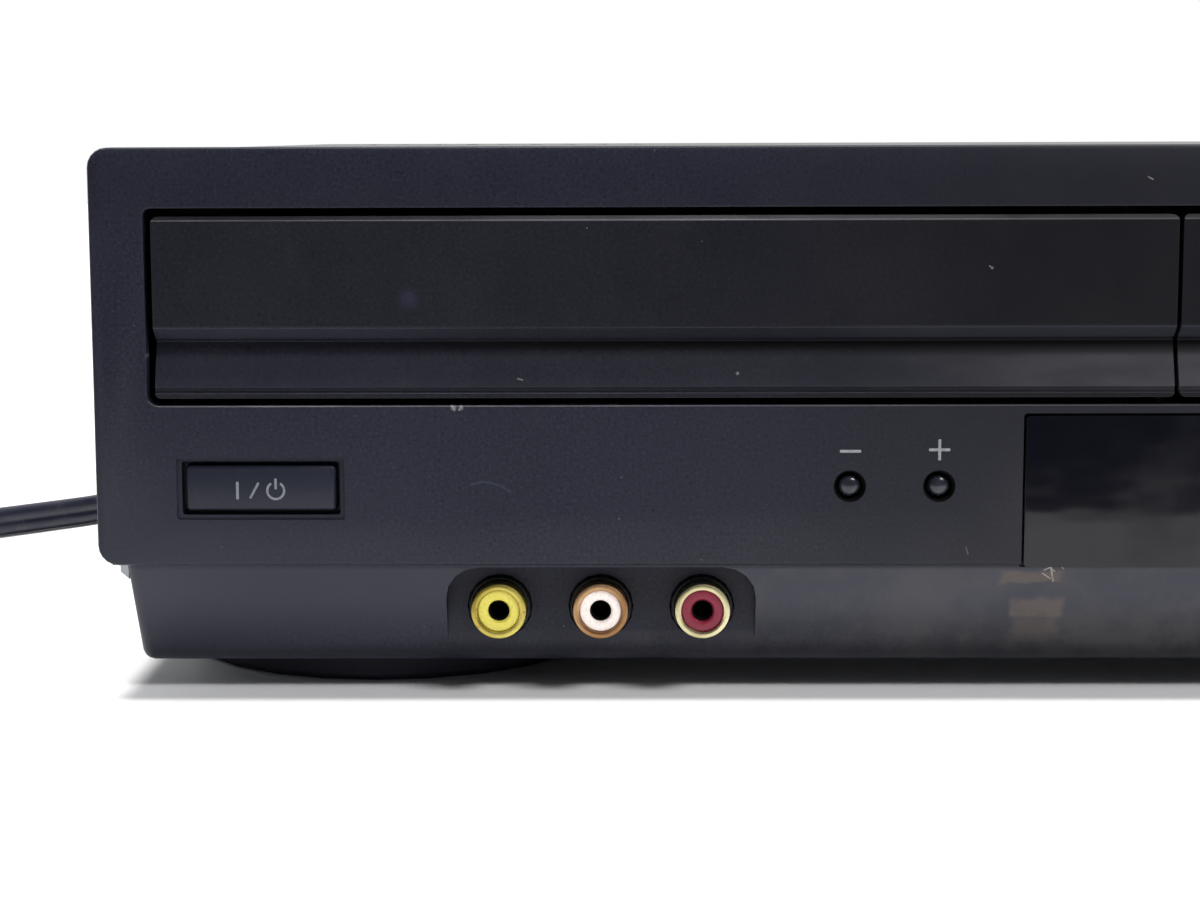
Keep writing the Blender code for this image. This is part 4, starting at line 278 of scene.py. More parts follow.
class Paint:
    """A node material, built from short calls: coats are laid over a base colour one after another."""

    def __init__(self, name, base, roughness=0.5, specular=0.5, metallic=0.0):
        self.material = bpy.data.materials.new(name)
        self.material.use_nodes = True
        self.tree = self.material.node_tree
        self.shader = self.tree.nodes["Principled BSDF"]
        set_inputs(self.shader, Roughness=roughness, Specular_IOR_Level=specular, Metallic=metallic)
        self.now = base
        self.place = self.add("ShaderNodeTexCoord").outputs["Object"]
        split = self.add("ShaderNodeSeparateXYZ")
        self.link(self.place, split.inputs[0])
        self.x, self.y, self.z = split.outputs

    def add(self, kind, **settings):
        made = self.tree.nodes.new(kind)
        for key, value in settings.items():
            setattr(made, key, value)
        return made

    def link(self, source, target):
        if isinstance(source, bpy.types.NodeSocket):
            self.tree.links.new(source, target)
        else:
            target.default_value = source

    def maths(self, operation, *values):
        node = self.add("ShaderNodeMath", operation=operation)
        for value, socket in zip(values, node.inputs):
            self.link(value, socket)
        return node.outputs[0]

    def noise(self, size, detail=3.0, roughness=0.55, stretch=None):
        """Noise with features of about this size in metres; stretch gives longer ones on an axis."""
        node = self.add("ShaderNodeTexNoise")
        set_inputs(node, Detail=detail, Roughness=roughness, Scale=1.0 if stretch else 1 / size)
        place = self.place
        if stretch:
            wide = self.add("ShaderNodeVectorMath", operation="MULTIPLY")
            self.link(place, wide.inputs[0])
            wide.inputs[1].default_value = [1 / (size * s) for s in stretch]
            place = wide.outputs[0]
        self.link(place, node.inputs["Vector"])
        return node.outputs["Fac"]

    def cells(self, size, output="Distance"):
        node = self.add("ShaderNodeTexVoronoi")
        set_inputs(node, Scale=1 / size)
        self.link(self.place, node.inputs["Vector"])
        return node.outputs[output]

    def cell_levels(self, size):
        """Random levels that each stay the same over a cell."""
        pick = self.add("ShaderNodeSeparateColor")
        self.link(self.cells(size, "Color"), pick.inputs[0])
        return pick.outputs

    def band(self, value, low, high, out_low=0.0, out_high=1.0):
        """Smooth step of a value from low to high; low above high turns it round."""
        node = self.add("ShaderNodeMapRange", interpolation_type="SMOOTHSTEP")
        self.link(value, node.inputs["Value"])
        if low > high:
            low, high, out_low, out_high = high, low, out_high, out_low
        set_inputs(node, From_Min=low, From_Max=high, To_Min=out_low, To_Max=out_high)
        return node.outputs[0]

    def blotch(self, noise, low, high, out_low=0.0, out_high=1.0):
        """Smooth step of a noise, whose settings are given together."""
        return self.band(self.noise(*noise), low, high, out_low, out_high)

    def mixed(self, share, first, second):
        node = self.add("ShaderNodeMix", data_type="RGBA")
        self.link(share, node.inputs[0])
        self.link(first, node.inputs[6])
        self.link(second, node.inputs[7])
        return node.outputs[2]

    def coat(self, share, tint):
        """Lays a colour over what is there, in this share."""
        self.now = self.mixed(share, self.now, tint)
        self.link(self.now, self.shader.inputs["Base Color"])

    def both(self, *shares):
        return functools.reduce(lambda first, second: self.maths("MULTIPLY", first, second), shares)

    def either(self, *shares):
        return functools.reduce(lambda first, second: self.maths("MAXIMUM", first, second), shares)

    def rest(self, share):
        return self.maths("SUBTRACT", 1.0, share)

    def inside(self, value, low, high, edge):
        return self.both(self.band(value, low - edge, low + edge),
                         self.band(value, high + edge, high - edge))

    def apart(self, across, up):
        """Length of the step that is so far across and so far up."""
        squares = [self.maths("POWER", self.maths("ABSOLUTE", way), 2.0) for way in (across, up)]
        return self.maths("SQRT", self.maths("ADD", *squares))

    def spot(self, x, z, radius, edge):
        """Round mark on a front face, in millimetres."""
        x, z, radius, edge = (value * MM for value in (x, z, radius, edge))
        away = self.apart(self.maths("SUBTRACT", self.x, x), self.maths("SUBTRACT", self.z, z))
        return self.band(away, radius + edge, radius - edge)

    def stroke(self, x0, z0, x1, z1, width):
        """Straight thin mark on a front face between two points, in millimetres."""
        x0, z0, x1, z1, width = (value * MM for value in (x0, z0, x1, z1, width))
        run = (x1 - x0) ** 2 + (z1 - z0) ** 2
        across, up = self.maths("SUBTRACT", self.x, x0), self.maths("SUBTRACT", self.z, z0)
        along = self.maths("ADD", self.both(across, (x1 - x0) / run), self.both(up, (z1 - z0) / run))
        along = self.maths("MINIMUM", self.either(along, 0.0), 1.0)
        off = self.maths("SUBTRACT", across, self.both(along, x1 - x0))
        rise = self.maths("SUBTRACT", up, self.both(along, z1 - z0))
        return self.band(self.apart(off, rise), width, width * 0.3)

    def marks(self, rows):
        """Several marks at once: a row of four numbers is a spot, and a row of five is a stroke."""
        return self.either(*[self.spot(*row) if len(row) == 4 else self.stroke(*row) for row in rows])

    def specks(self, size, radius, share):
        """Small specks: one possible per cell of this size, shown in this share of the cells."""
        near = self.band(self.cells(size), radius / size * 1.3, radius / size * 0.7)
        return self.both(near, self.maths("LESS_THAN", self.cell_levels(size)[0], share))

    def roughness(self, source):
        self.link(source, self.shader.inputs["Roughness"])

    def metallic(self, source):
        self.link(source, self.shader.inputs["Metallic"])

    def bump(self, height, depth, strength=1.0):
        node = self.add("ShaderNodeBump")
        set_inputs(node, Strength=strength, Distance=depth)
        self.link(height, node.inputs["Height"])
        normal = self.shader.inputs["Normal"]
        if normal.is_linked:
            self.link(normal.links[0].from_socket, node.inputs["Normal"])
        self.link(node.outputs[0], normal)


def scaled(colour, factor):
    return tuple(c * factor for c in colour[:3]) + (1.0,)


def dusty_plastic(name, base, gloss, level=0.3, worn=True, grain=0.00035, fleck=1.0):
    """Moulded plastic with a fine grain, handling marks, dust and a few scratches."""
    paint = Paint(name, base, gloss, level)
    paint.coat(paint.blotch((0.035, 4.0), 0.35, 0.7), scaled(base, 1.15))
    fine = paint.noise(0.0005, 3.0, 0.65)
    paint.coat(paint.band(fine, 0.52, 0.72), scaled(base, 1.0 + 0.9 * fleck))
    paint.coat(paint.band(fine, 0.48, 0.28), scaled(base, 1.0 - 0.65 * fleck))
    dust, lint = paint.specks(0.0042, 0.00011, 0.45), paint.specks(0.0016, 0.00005, 0.25)
    haze = paint.both(paint.blotch((0.007, 5.0, 0.65), 0.54, 0.80), 0.035)
    dirt = paint.both(paint.either(dust, paint.both(lint, 0.7), haze), 0.5)
    paint.coat(dirt, tone(118, 116, 118))
    smear = paint.blotch((0.022, 5.0, 0.6), 0.3, 0.72, gloss - 0.05, gloss + 0.08)
    paint.roughness(paint.maths("ADD", smear, paint.both(dirt, 0.3)))
    paint.bump(paint.noise(grain, 2.0, 0.5), 0.00002, 0.5)
    if worn:
        paint.bump(paint.blotch((0.0007, 2.0, 0.4, (12.0, 12.0, 0.6)), 0.60, 0.80), 0.000006, 0.2)
    return paint


# Places on the front in millimetres of x and z. A spot is x, z, radius and edge, and a stroke is x, z, x, z
# and width. A patch is low, high and edge along x, the same along z, and its strength where it isn't full.
PATCHES = [(-81.0, -72.2, 0.6, 17.4, 19.2, 0.3), (-79.4, -71.6, 0.5, 11.7, 14.8, 0.6),
           (-78.8, -72.0, 0.8, 8.6, 12.4, 1.2, 0.55)]
BEZEL_CHIPS = [(-162.0, 44.0, 0.3, 0.3), (-160.9, 44.0, 0.25, 0.25), (-162.3, 44.3, -161.9, 43.7, 0.25),
               (-160.9, 44.3, -161.2, 43.7, 0.22), (-206.8, 51.7, 0.22, 0.2)]
SCUFFS = [(-75.4, 20.9, -73.2, 19.2, 0.16), (-74.8, 19.4, -72.4, 20.6, 0.12),
          (-73.9, 20.3, -73.3, 17.6, 0.18), (-75.0, 18.9, -73.7, 18.0, 0.12),
          (-72.6, 20.2, -71.9, 19.6, 0.10), (-61.4, 77.4, -60.7, 77.0, 0.12)]
FAINT_SCUFF = (-86.7, 23.2, -86.4, 22.2, 0.14)
ARC_BEND = [(-159.6, 32.6), (-158.4, 32.95), (-157.2, 33.0), (-156.0, 32.7), (-154.9, 32.3),
            (-153.7, 31.5)]
ARC_WIDTH = 0.22
DOOR_CHIPS = [(-83.6, 64.3, 0.18, 0.12), (-84.0, 64.6, -83.6, 64.3, 0.12),
              (-152.6, 48.2, -151.9, 48.0, 0.14), (-120.4, 48.9, 0.2, 0.15)]
DOOR_SMUDGE = (-168.4, 60.0, 1.0, 1.2)
# A noise as size in metres, detail and roughness, and where paints begin and end, in metres
RAGGED, EDGE_WANDER = (0.0022, 5.0, 0.7), 0.0022
PANEL_SLOPE, PANEL_TOP, PANEL_FACE = 0.387, (0.0202, 0.0194), (-0.1222, -0.1226)
BROW, BROW_SHADE, RAMP = (0.0087, 0.0106), (0.0069, 0.0084), (0.0012, 0.0062)
# where the metal is painted black as painted shade, seen through the gap over the doors
GAP_SHADE_Z, GAP_SHADE_Y = (0.0688, 0.0694), (-0.070, -0.072)
BOARD_THICKNESS, BOARD_FRONT = 0.0016, (-0.110, -0.112)


def wavy_patches(paint):
    """Patches of old film whose edges wander a little."""
    wave = paint.both(paint.maths("SUBTRACT", paint.noise(0.004, 3.0), 0.5), EDGE_WANDER)
    x, z = paint.maths("ADD", paint.x, wave), paint.maths("ADD", paint.z, wave)
    found = []
    for x_low, x_high, x_edge, z_low, z_high, z_edge, *strength in PATCHES:
        found.append(paint.both(paint.inside(x, x_low * MM, x_high * MM, x_edge * MM),
                                paint.inside(z, z_low * MM, z_high * MM, z_edge * MM), *strength))
    return paint.either(*found)


def charcoal_material():
    """The moulded front: bluish charcoal, lighter towards the lower left as painted light, with a worn, dusty
    lower panel that is lightened as painted light and darkened towards its foot as painted shade, and its own
    chips and marks.
    """
    paint = dusty_plastic("charcoal_moulding", tone(27, 29, 42), 0.42, 0.22)
    band, both, x, z = paint.band, paint.both, paint.x, paint.z
    # painted light: the front lighter towards its lower left
    paint.coat(both(band(z, 0.048, 0.022), band(x, -0.150, -0.205), 0.5), tone(42, 45, 56))
    paint.coat(band(x, -0.150, -0.060, 0.0, 0.8), tone(27, 28, 33))
    paint.coat(both(band(z, 0.068, 0.074), 0.25), tone(17, 17, 27))
    slope = paint.maths("ADD", paint.y, both(z, PANEL_SLOPE))
    lower = both(band(z, *PANEL_TOP), band(slope, *PANEL_FACE))
    right = band(x, -0.180, -0.090)
    # painted light: the lower panel lightened, more towards the right and less towards its foot
    panel = paint.mixed(right, tone(50, 51, 62), tone(62, 64, 74))
    paint.coat(both(lower, band(z, 0.0068, 0.0158), 0.80), panel)
    paint.coat(both(lower, right, paint.blotch((0.010, 6.0, 0.65), 0.36, 0.66), 0.15), tone(104, 98, 92))
    # painted shade: the lower panel darker towards its foot
    paint.coat(both(lower, band(z, 0.0090, 0.0048), 0.42), tone(6, 6, 14))
    ragged = paint.noise(*RAGGED)
    paint.coat(both(wavy_patches(paint), band(ragged, 0.25, 0.50, 0.5, 1.0), 0.42), tone(108, 94, 84))
    paint.coat(both(paint.marks(BEZEL_CHIPS), band(ragged, 0.2, 0.6, 0.35, 1.0), 0.8), tone(126, 124, 126))
    scuffs = paint.either(paint.marks(SCUFFS), both(paint.stroke(*FAINT_SCUFF), 0.4))
    paint.coat(both(scuffs, band(ragged, 0.35, 0.6, 0.3, 1.0), 0.8), tone(168, 158, 150))
    arc = paint.marks([(*here, *there, ARC_WIDTH) for here, there in zip(ARC_BEND, ARC_BEND[1:])])
    paint.coat(both(arc, 0.22), tone(70, 78, 104))
    return paint.material


def door_material():
    """The darker doors: a bright line along the top edge that is partly wear and partly a painted highlight, a
    brow lightened as painted light with a painted shadow under it, the doors darker towards the right as
    painted shade, and a finger ramp lightened as painted light, with grease and a painted sheen towards the
    right.
    """
    paint = dusty_plastic("door_moulding", tone(20, 21, 30), 0.40, 0.22)
    band, both, x, z = paint.band, paint.both, paint.x, paint.z
    low, top = (corner.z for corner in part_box("tray_front"))
    # the bright line along the top edge is partly wear and partly a painted highlight, stronger towards the
    # right
    edge = both(band(z, top - 0.00085, top - 0.00060),
                paint.blotch((0.006, 4.0, 0.6, (2.0, 1.0, 1.0)), 0.25, 0.55, 0.55, 1.0))
    paint.coat(both(edge, band(x, -0.200, -0.060, 0.08, 1.0)), tone(112, 111, 116))
    # painted shade: the doors darker towards the right
    paint.coat(both(band(x, -0.150, -0.065), 0.75), tone(10, 11, 15))
    # painted light on the brow, more at its two ends
    brow = paint.inside(z, low + BROW[0], low + BROW[1], 0.0001)
    ends = paint.either(band(x, -0.150, -0.185), band(x, -0.120, -0.085))
    paint.coat(both(brow, band(ends, 0.0, 1.0, 0.05, 0.19)), tone(64, 67, 78))
    # painted shadow cast by the brow on the top of the ramp
    shade = paint.inside(z, low + BROW_SHADE[0], low + BROW_SHADE[1], 0.0004)
    paint.coat(both(shade, band(x, -0.21, -0.13, 0.05, 0.95)), tone(4, 4, 7))
    # painted light on the finger ramp, more towards the left
    ramp = paint.inside(z, low + RAMP[0], low + RAMP[1], 0.0006)
    paint.coat(both(ramp, band(x, -0.150, -0.190, 0.15, 0.20)), tone(62, 65, 78))
    # towards the right the ramp is lighter from grease and a painted sheen together
    grease_and_sheen = paint.blotch((0.012, 5.0, 0.6, (1.6, 1.0, 0.5)), 0.30, 0.65, 0.35, 1.0)
    paint.coat(both(ramp, band(x, -0.110, -0.065), grease_and_sheen, 0.34), tone(84, 82, 88))
    paint.coat(both(paint.spot(*DOOR_SMUDGE), 0.4), tone(48, 50, 78))
    worn = paint.blotch(RAGGED, 0.2, 0.6, 0.4, 1.0)
    paint.coat(both(paint.marks(DOOR_CHIPS), worn, 0.8), tone(126, 124, 126))
    return paint.material


def painted_steel_material():
    paint = Paint("painted_sheet", tone(25, 25, 27), 0.5, 0.4)
    paint.coat(paint.noise(0.05, 4.0), tone(31, 31, 33))
    film = paint.blotch((0.05, 6.0, 0.6), 0.4, 0.75, 0.0, 0.035)
    scratch = paint.both(paint.blotch((0.0009, 2.0, 0.4, (1.0, 22.0, 22.0)), 0.68, 0.78),
                         paint.blotch((0.03, 3.0), 0.52, 0.62), 0.3)
    dust = paint.either(paint.specks(0.005, 0.00014, 0.5), scratch, film)
    paint.coat(paint.both(dust, 0.5), tone(120, 118, 112))
    paint.roughness(paint.blotch((0.06, 3.0), 0.3, 0.7, 0.31, 0.35))
    paint.bump(paint.noise(0.0007, 3.0, 0.6), 0.000006, 0.4)
    return paint.material


def metal_material(name, base, dark, gloss, spangle=0.0, brushed=None, rust=0.0, painted_gap_shade=False):
    """Bare or plated metal; where it could be seen over the doors it can be painted black, as painted shade in
    the gap.
    """
    paint = Paint(name, tone(*base), gloss, metallic=1.0)
    dark = tone(*dark)
    paint.coat(paint.blotch((0.014, 5.0, 0.6), 0.3, 0.7), dark)
    if spangle:
        level = paint.cell_levels(spangle)
        paint.coat(paint.band(level[0], 0.0, 1.0, 0.0, 0.25), dark)
        paint.roughness(paint.band(level[1], 0.0, 1.0, gloss - 0.03, gloss + 0.09))
    else:
        paint.roughness(paint.blotch((0.006, 5.0, 0.65), 0.3, 0.7, gloss - 0.07, gloss + 0.12))
    if rust:
        spots = paint.blotch((0.0012, 6.0, 0.75), 0.62 - rust, 0.72 - rust)
        paint.coat(paint.both(spots, 0.85), tone(120, 66, 40))
        paint.metallic(paint.rest(paint.both(spots, 0.7)))
    # painted shade: the metal painted black and not metallic where it shows through the gap over the doors
    if painted_gap_shade:
        front = paint.both(paint.band(paint.z, *GAP_SHADE_Z), paint.band(paint.y, *GAP_SHADE_Y))
        paint.coat(front, tone(5, 5, 7))
        paint.metallic(paint.rest(front))
    if brushed:
        paint.bump(paint.noise(0.0003, 3.0, 0.6, brushed), 0.00001, 0.5)
    paint.bump(paint.noise(0.0009, 4.0, 0.6), 0.00001, 0.4)
    return paint.material


def smoked_material():
    paint = Paint("smoked_window", tone(5, 6, 15), 0.06, 0.39)
    haze = paint.blotch((0.03, 5.0, 0.6), 0.4, 0.75)
    scratch = paint.both(paint.blotch((0.0009, 3.0, 0.5, (18.0, 1.0, 1.0)), 0.68, 0.78),
                         paint.blotch((0.02, 3.0), 0.5, 0.6))
    dust = paint.specks(0.004, 0.00009, 0.4)
    paint.coat(paint.both(paint.either(dust, paint.both(scratch, 0.2)), 0.4), tone(110, 112, 118))
    paint.roughness(paint.maths("ADD", paint.band(haze, 0.0, 1.0, 0.08, 0.20), paint.both(scratch, 0.2)))
    paint.bump(paint.noise(0.013, 2.0, 0.5, (1.8, 1.0, 0.7)), 0.00016, 0.6)
    return paint.material


def gloss_material(name, base, gloss):
    paint = Paint(name, tone(*base), gloss)
    paint.coat(paint.both(paint.specks(0.0012, 0.00006, 0.5), 0.4), tone(130, 130, 130))
    paint.roughness(paint.blotch((0.003, 4.0), 0.3, 0.7, gloss - 0.04, gloss + 0.08))
    paint.bump(paint.noise(0.0012, 2.0), 0.00001, 0.3)
    return paint.material


def dome_material():
    """Grey translucent key in a dark hole: its foot is in the hole's shade."""
    paint = Paint("tracking_dome", tone(26, 29, 36), 0.22)
    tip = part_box("tracking_up_button")[0].y
    shade = (paint.y, tip + 0.0006, tip + 0.0012)
    paint.coat(paint.blotch((0.0012, 3.0), 0.35, 0.65), tone(38, 42, 51))
    paint.coat(paint.band(*shade), tone(5, 5, 7))
    paint.roughness(paint.band(*shade, 0.22, 0.9))
    paint.bump(paint.noise(0.0008, 2.0), 0.00001, 0.4)
    return paint.material


def board_tracks(paint):
    """Copper tracks in short runs, some along the board and some across it."""
    up = paint.maths("ADD", paint.y, paint.z)
    runs = []
    for first, second, length, pitch in ((paint.x, up, 0.0170, 0.0016), (up, paint.x, 0.0110, 0.0021)):
        flat = paint.add("ShaderNodeCombineXYZ")
        paint.link(first, flat.inputs[0])
        paint.link(second, flat.inputs[1])
        bricks = paint.add("ShaderNodeTexBrick", offset=0.37, offset_frequency=3)
        paint.link(flat.outputs[0], bricks.inputs["Vector"])
        set_inputs(bricks, Scale=1.0, Mortar_Size=0.00022, Mortar_Smooth=0.2, Brick_Width=length,
                   Row_Height=pitch)
        runs.append(bricks.outputs["Fac"])
    across = paint.blotch((0.016, 1.0), 0.49, 0.51)
    return paint.either(paint.both(runs[0], across), paint.both(runs[1], paint.rest(across)))


def board_material():
    """Green boards with tracks and pads; what stands on them is dark or brown."""
    paint = Paint("board", tone(24, 48, 31), 0.55)
    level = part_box("main_board")[0].z + BOARD_THICKNESS
    track, pads = board_tracks(paint), paint.specks(0.0032, 0.0004, 0.5)
    paint.coat(paint.blotch((0.03, 2.0), 0.55, 0.57), tone(32, 60, 38))
    paint.coat(paint.both(track, 0.7), tone(58, 88, 56))
    paint.coat(pads, tone(176, 172, 160))
    tall = paint.band(paint.z, level + 0.0001, level + 0.0004)
    upright = paint.band(paint.y, *BOARD_FRONT)
    body = paint.mixed(paint.blotch((0.02, 2.0), 0.45, 0.55), tone(22, 24, 34), tone(44, 42, 40))
    paint.coat(paint.both(tall, paint.rest(upright)), body)
    paint.roughness(paint.blotch((0.004, 4.0), 0.3, 0.7, 0.4, 0.62))
    paint.bump(paint.either(track, pads), 0.00004, 0.6)
    return paint.material


def simple_plastic(name, base, gloss=0.45, grain=0.0005, level=0.4):
    return dusty_plastic(name, tone(*base), gloss, level, False, grain, 0.25).material


def rubber_material(name, base, gloss=0.6, level=0.35):
    paint = Paint(name, tone(*base), gloss, level)
    scuff, dust = paint.blotch((0.006, 5.0, 0.7), 0.5, 0.75), paint.specks(0.0025, 0.0001, 0.5)
    paint.coat(paint.both(paint.either(scuff, dust), 0.22), tone(120, 118, 114))
    paint.roughness(paint.blotch((0.004, 4.0), 0.3, 0.7, gloss - 0.1, gloss + 0.1))
    paint.bump(paint.noise(0.0004, 3.0, 0.6), 0.00002, 0.5)
    return paint.material


def print_material(name, colour):
    paint = Paint(name, tone(*colour), 0.55)
    paint.coat(paint.blotch((0.0006, 4.0, 0.7), 0.45, 0.75), scaled(paint.now, 0.55))
    paint.bump(paint.noise(0.0002, 2.0), 0.000005, 0.4)
    return paint.material


FEET = ("foot_front_left", "foot_front_right", "foot_rear_left", "foot_rear_right")
SOCKET_GRAIN = 0.0006
MATERIALS = {
    "charcoal_plastic": charcoal_material(),
    "black_plastic": simple_plastic("black_moulding", (24, 24, 26), 0.5),
    "grey_plastic": simple_plastic("grey_moulding", (92, 94, 98)),
    "white_plastic": simple_plastic("white_moulding", (214, 212, 204), 0.42),
    "painted_steel": painted_steel_material(),
    "galvanised_steel": metal_material("galvanised_sheet", (188, 190, 194), (150, 153, 158), 0.38, 0.007,
                                       painted_gap_shade=True),
    "bright_steel": metal_material("bright_steel", (205, 205, 205), (176, 178, 182), 0.22,
                                   brushed=(1.0, 30.0, 1.0), painted_gap_shade=True),
    "circuit_board": board_material(),
    "smoked_acrylic": smoked_material(),
    "display_glass": gloss_material("display_glass", (30, 40, 44), 0.08),
    "gloss_black": gloss_material("gloss_key", (14, 14, 16), 0.12),
    "socket_plating": metal_material("socket_plating", (214, 206, 168), (156, 146, 104), 0.28, rust=0.03),
    "socket_plating_worn": metal_material("socket_plating_worn", (188, 154, 116), (134, 96, 62), 0.36,
                                          rust=0.06),
    "socket_yellow": simple_plastic("socket_yellow", (218, 206, 92), 0.42, SOCKET_GRAIN),
    "socket_white": simple_plastic("socket_white", (244, 232, 226), 0.4, SOCKET_GRAIN),
    "socket_red": simple_plastic("socket_red", (122, 26, 50), 0.38, SOCKET_GRAIN),
    "rubber": rubber_material("roller_rubber", (26, 26, 28)),
    "cord_jacket": rubber_material("cord_jacket", (33, 36, 53), 0.40, 0.5),
    "plug_brass": metal_material("blade_brass", (206, 172, 104), (150, 118, 66), 0.3,
                                 brushed=(1.0, 20.0, 1.0)),
}
REAR_PLASTICS = {tint: simple_plastic("socket_" + tint, base, 0.42, SOCKET_GRAIN) for tint, base in (
    ("green", (46, 112, 66)), ("blue", (40, 72, 150)), ("black", (22, 22, 24)))}
DOOR, DOME = door_material(), dome_material()
# painted shade: near-black matte plastic for the socket recess, the socket bores and the key-hole liners,
# darker than the black plastic so that they read as shade
RECESS_BLACK_PAINTED_SHADE = simple_plastic("recess_black_painted_shade", (8, 8, 10), 0.8, 0.0005, 0.1)
SCREW_BLACK = metal_material("screw_black", (52, 52, 56), (34, 34, 38), 0.34)
PALE_PRINT = print_material("pale_print", (136, 137, 142))
KEY_PRINT = print_material("key_print", (118, 121, 130))
OVERRIDES = {
    "tray_front": DOOR,
    "cassette_door": DOOR,
    "power_button": simple_plastic("power_key", (28, 31, 43), 0.4, 0.00035, 0.25),
    "jack_shell_yellow": metal_material("socket_plating_yellow", (206, 192, 104), (150, 134, 60), 0.32,
                                        rust=0.05),
    # the socket recess is near-black as painted shade
    "front_jack_block": RECESS_BLACK_PAINTED_SHADE,
}
OVERRIDES.update(dict.fromkeys(FEET, simple_plastic("foot_rubber", (38, 38, 47), 0.7, 0.0005, 0.15)))

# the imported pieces' finish

SHARP = math.radians(34)
FLAT = math.radians(0.5)
WELD_DISTANCE = 1e-6
USUAL_ROUNDING = 0.18
ROUNDING = {"front_bezel": 0.25, "tray_front": 0.40, "cassette_door": 0.40, "power_button": 0.35,
            "display_window": 0.15, "top_cover": 0.12, "bottom_chassis": 0.12}
ROUNDING.update(dict.fromkeys(("rear_panel", "main_board", "power_board", "front_board", "cassette_frame",
                               "cassette_basket", "basket_yoke", "deck_plate", "clamp_bridge"), 0.1))
KEEP_FACES = {"rear_panel"}
SLOTS = {part["node"]: part["material_slot"] for part in frame["record"]["subparts"]}


def weld_group():
    """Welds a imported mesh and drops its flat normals, so that its curved faces shade as curved."""
    group = bpy.data.node_groups.new("weld", "GeometryNodeTree")
    for way in ("INPUT", "OUTPUT"):
        group.interface.new_socket("Geometry", in_out=way, socket_type="NodeSocketGeometry")
    start, weld, normal, end = (group.nodes.new(kind) for kind in (
        "NodeGroupInput", "GeometryNodeMergeByDistance", "GeometryNodeSetMeshNormal", "NodeGroupOutput"))
    normal.mode = "SHARPNESS"
    set_inputs(weld, Distance=WELD_DISTANCE)
    set_inputs(normal, Remove_Custom=True, Edge_Sharpness=False, Face_Sharpness=False)
    group.links.new(start.outputs[0], weld.inputs["Geometry"])
    group.links.new(weld.outputs[0], normal.inputs["Mesh"])
    group.links.new(normal.outputs[0], end.inputs[0])
    return group


def finish_node(name, group):
    node = nodes[name]
    weld = node.modifiers.new("weld", "NODES")
    weld.node_group = group
    if name not in KEEP_FACES:
        flat = node.modifiers.new("flat", "DECIMATE")
        flat.decimate_type = "DISSOLVE"
        flat.angle_limit = FLAT
    edge = node.modifiers.new("edge", "BEVEL")
    edge.width = ROUNDING.get(name, USUAL_ROUNDING) * MM
    edge.segments = 2
    edge.limit_method = "ANGLE"
    edge.angle_limit = SHARP
    edge.harden_normals = True
    edge.use_clamp_overlap = True


def finish_nodes():
    group = weld_group()
    for name, node in nodes.items():
        for slot in node.material_slots:
            slot.material = OVERRIDES.get(name, MATERIALS[SLOTS[name]])
        finish_node(name, group)


# mains cord, coil, tie, relief and plug

CORD_ROUTE = [
    (-0.1850, 0.1538, 0.0300), (-0.1850, 0.1600, 0.0300), (-0.1856, 0.1750, 0.0275),
    (-0.1895, 0.1880, 0.0185), (-0.1980, 0.1985, 0.0088), (-0.2105, 0.2025, 0.0036),
    (-0.2240, 0.1975, 0.0032), (-0.2330, 0.1840, 0.0032), (-0.2355, 0.1600, 0.0032),
    (-0.2345, 0.1300, 0.0032), (-0.2345, 0.1000, 0.0032), (-0.2380, 0.0720, 0.0032),
    (-0.2445, 0.0500, 0.0032), (-0.2525, 0.0345, 0.0032), (-0.2610, 0.0245, 0.0032),
    (-0.2700, 0.0150, 0.0032), (-0.2800, 0.0036, 0.0032),
]
CORD_WIDTH, CORD_THICKNESS, CORD_GROOVE = 0.0060, 0.0032, 0.00035
CORD_SPACING, CURVE_STEPS = 0.004, 16
FLOOR_GAP = 0.00005
COIL_CENTRE = Vector((-0.3222, 0.0210, 0.0))
COIL_RADIUS, COIL_PITCH, COIL_NEST = 0.0425, 0.0066, 0.0004
COIL_START, COIL_TURNS, COIL_STEPS = -42.0, 5.425, 36
COIL_LEAD = 0.012
COIL_ROLL, ROLL_STEPS = math.radians(25.0), 20
TAIL, TAIL_STEPS, TAIL_FALL = 0.0240, 8, 0.75
PLUG_HEIGHT = 0.0150
TIE_ANGLE = math.radians(205)
TIE_INNER, TIE_OUTER, TIE_LOW, TIE_HIGH, TIE_CORNER = 0.0212, 0.0460, 0.00052, 0.0128, 0.0032
TIE_SECTION = ((-2.4, 0.0), (-2.2, 0.45), (2.2, 0.45), (2.4, 0.0), (2.2, -0.45), (-2.2, -0.45))
RELIEF_RIBS, RIB_DEPTH = 7, 1.3


def eased(share):
    return share * share * (3 - 2 * share)


def smooth_curve(points, spacing):
    """Catmull-Rom curve through the points, read at about even steps."""
    knots = [Vector(p) for p in points]
    knots = [knots[0] * 2 - knots[1]] + knots + [knots[-1] * 2 - knots[-2]]
    fine = []
    for a, b, c, d in zip(knots, knots[1:], knots[2:], knots[3:]):
        for i in range(CURVE_STEPS):
            t = i / CURVE_STEPS
            fine.append(0.5 * (2 * b + (c - a) * t + (2 * a - 5 * b + 4 * c - d) * t * t
                               + (3 * b - a - 3 * c + d) * t ** 3))
    fine.append(knots[-2])
    kept, travelled = [fine[0]], 0.0
    for before, after in zip(fine, fine[1:]):
        travelled += (after - before).length
        if travelled >= spacing:
            kept.append(after)
            travelled = 0.0
    if (kept[-1] - fine[-1]).length < spacing / 2:
        kept.pop()
    return kept + [fine[-1]]


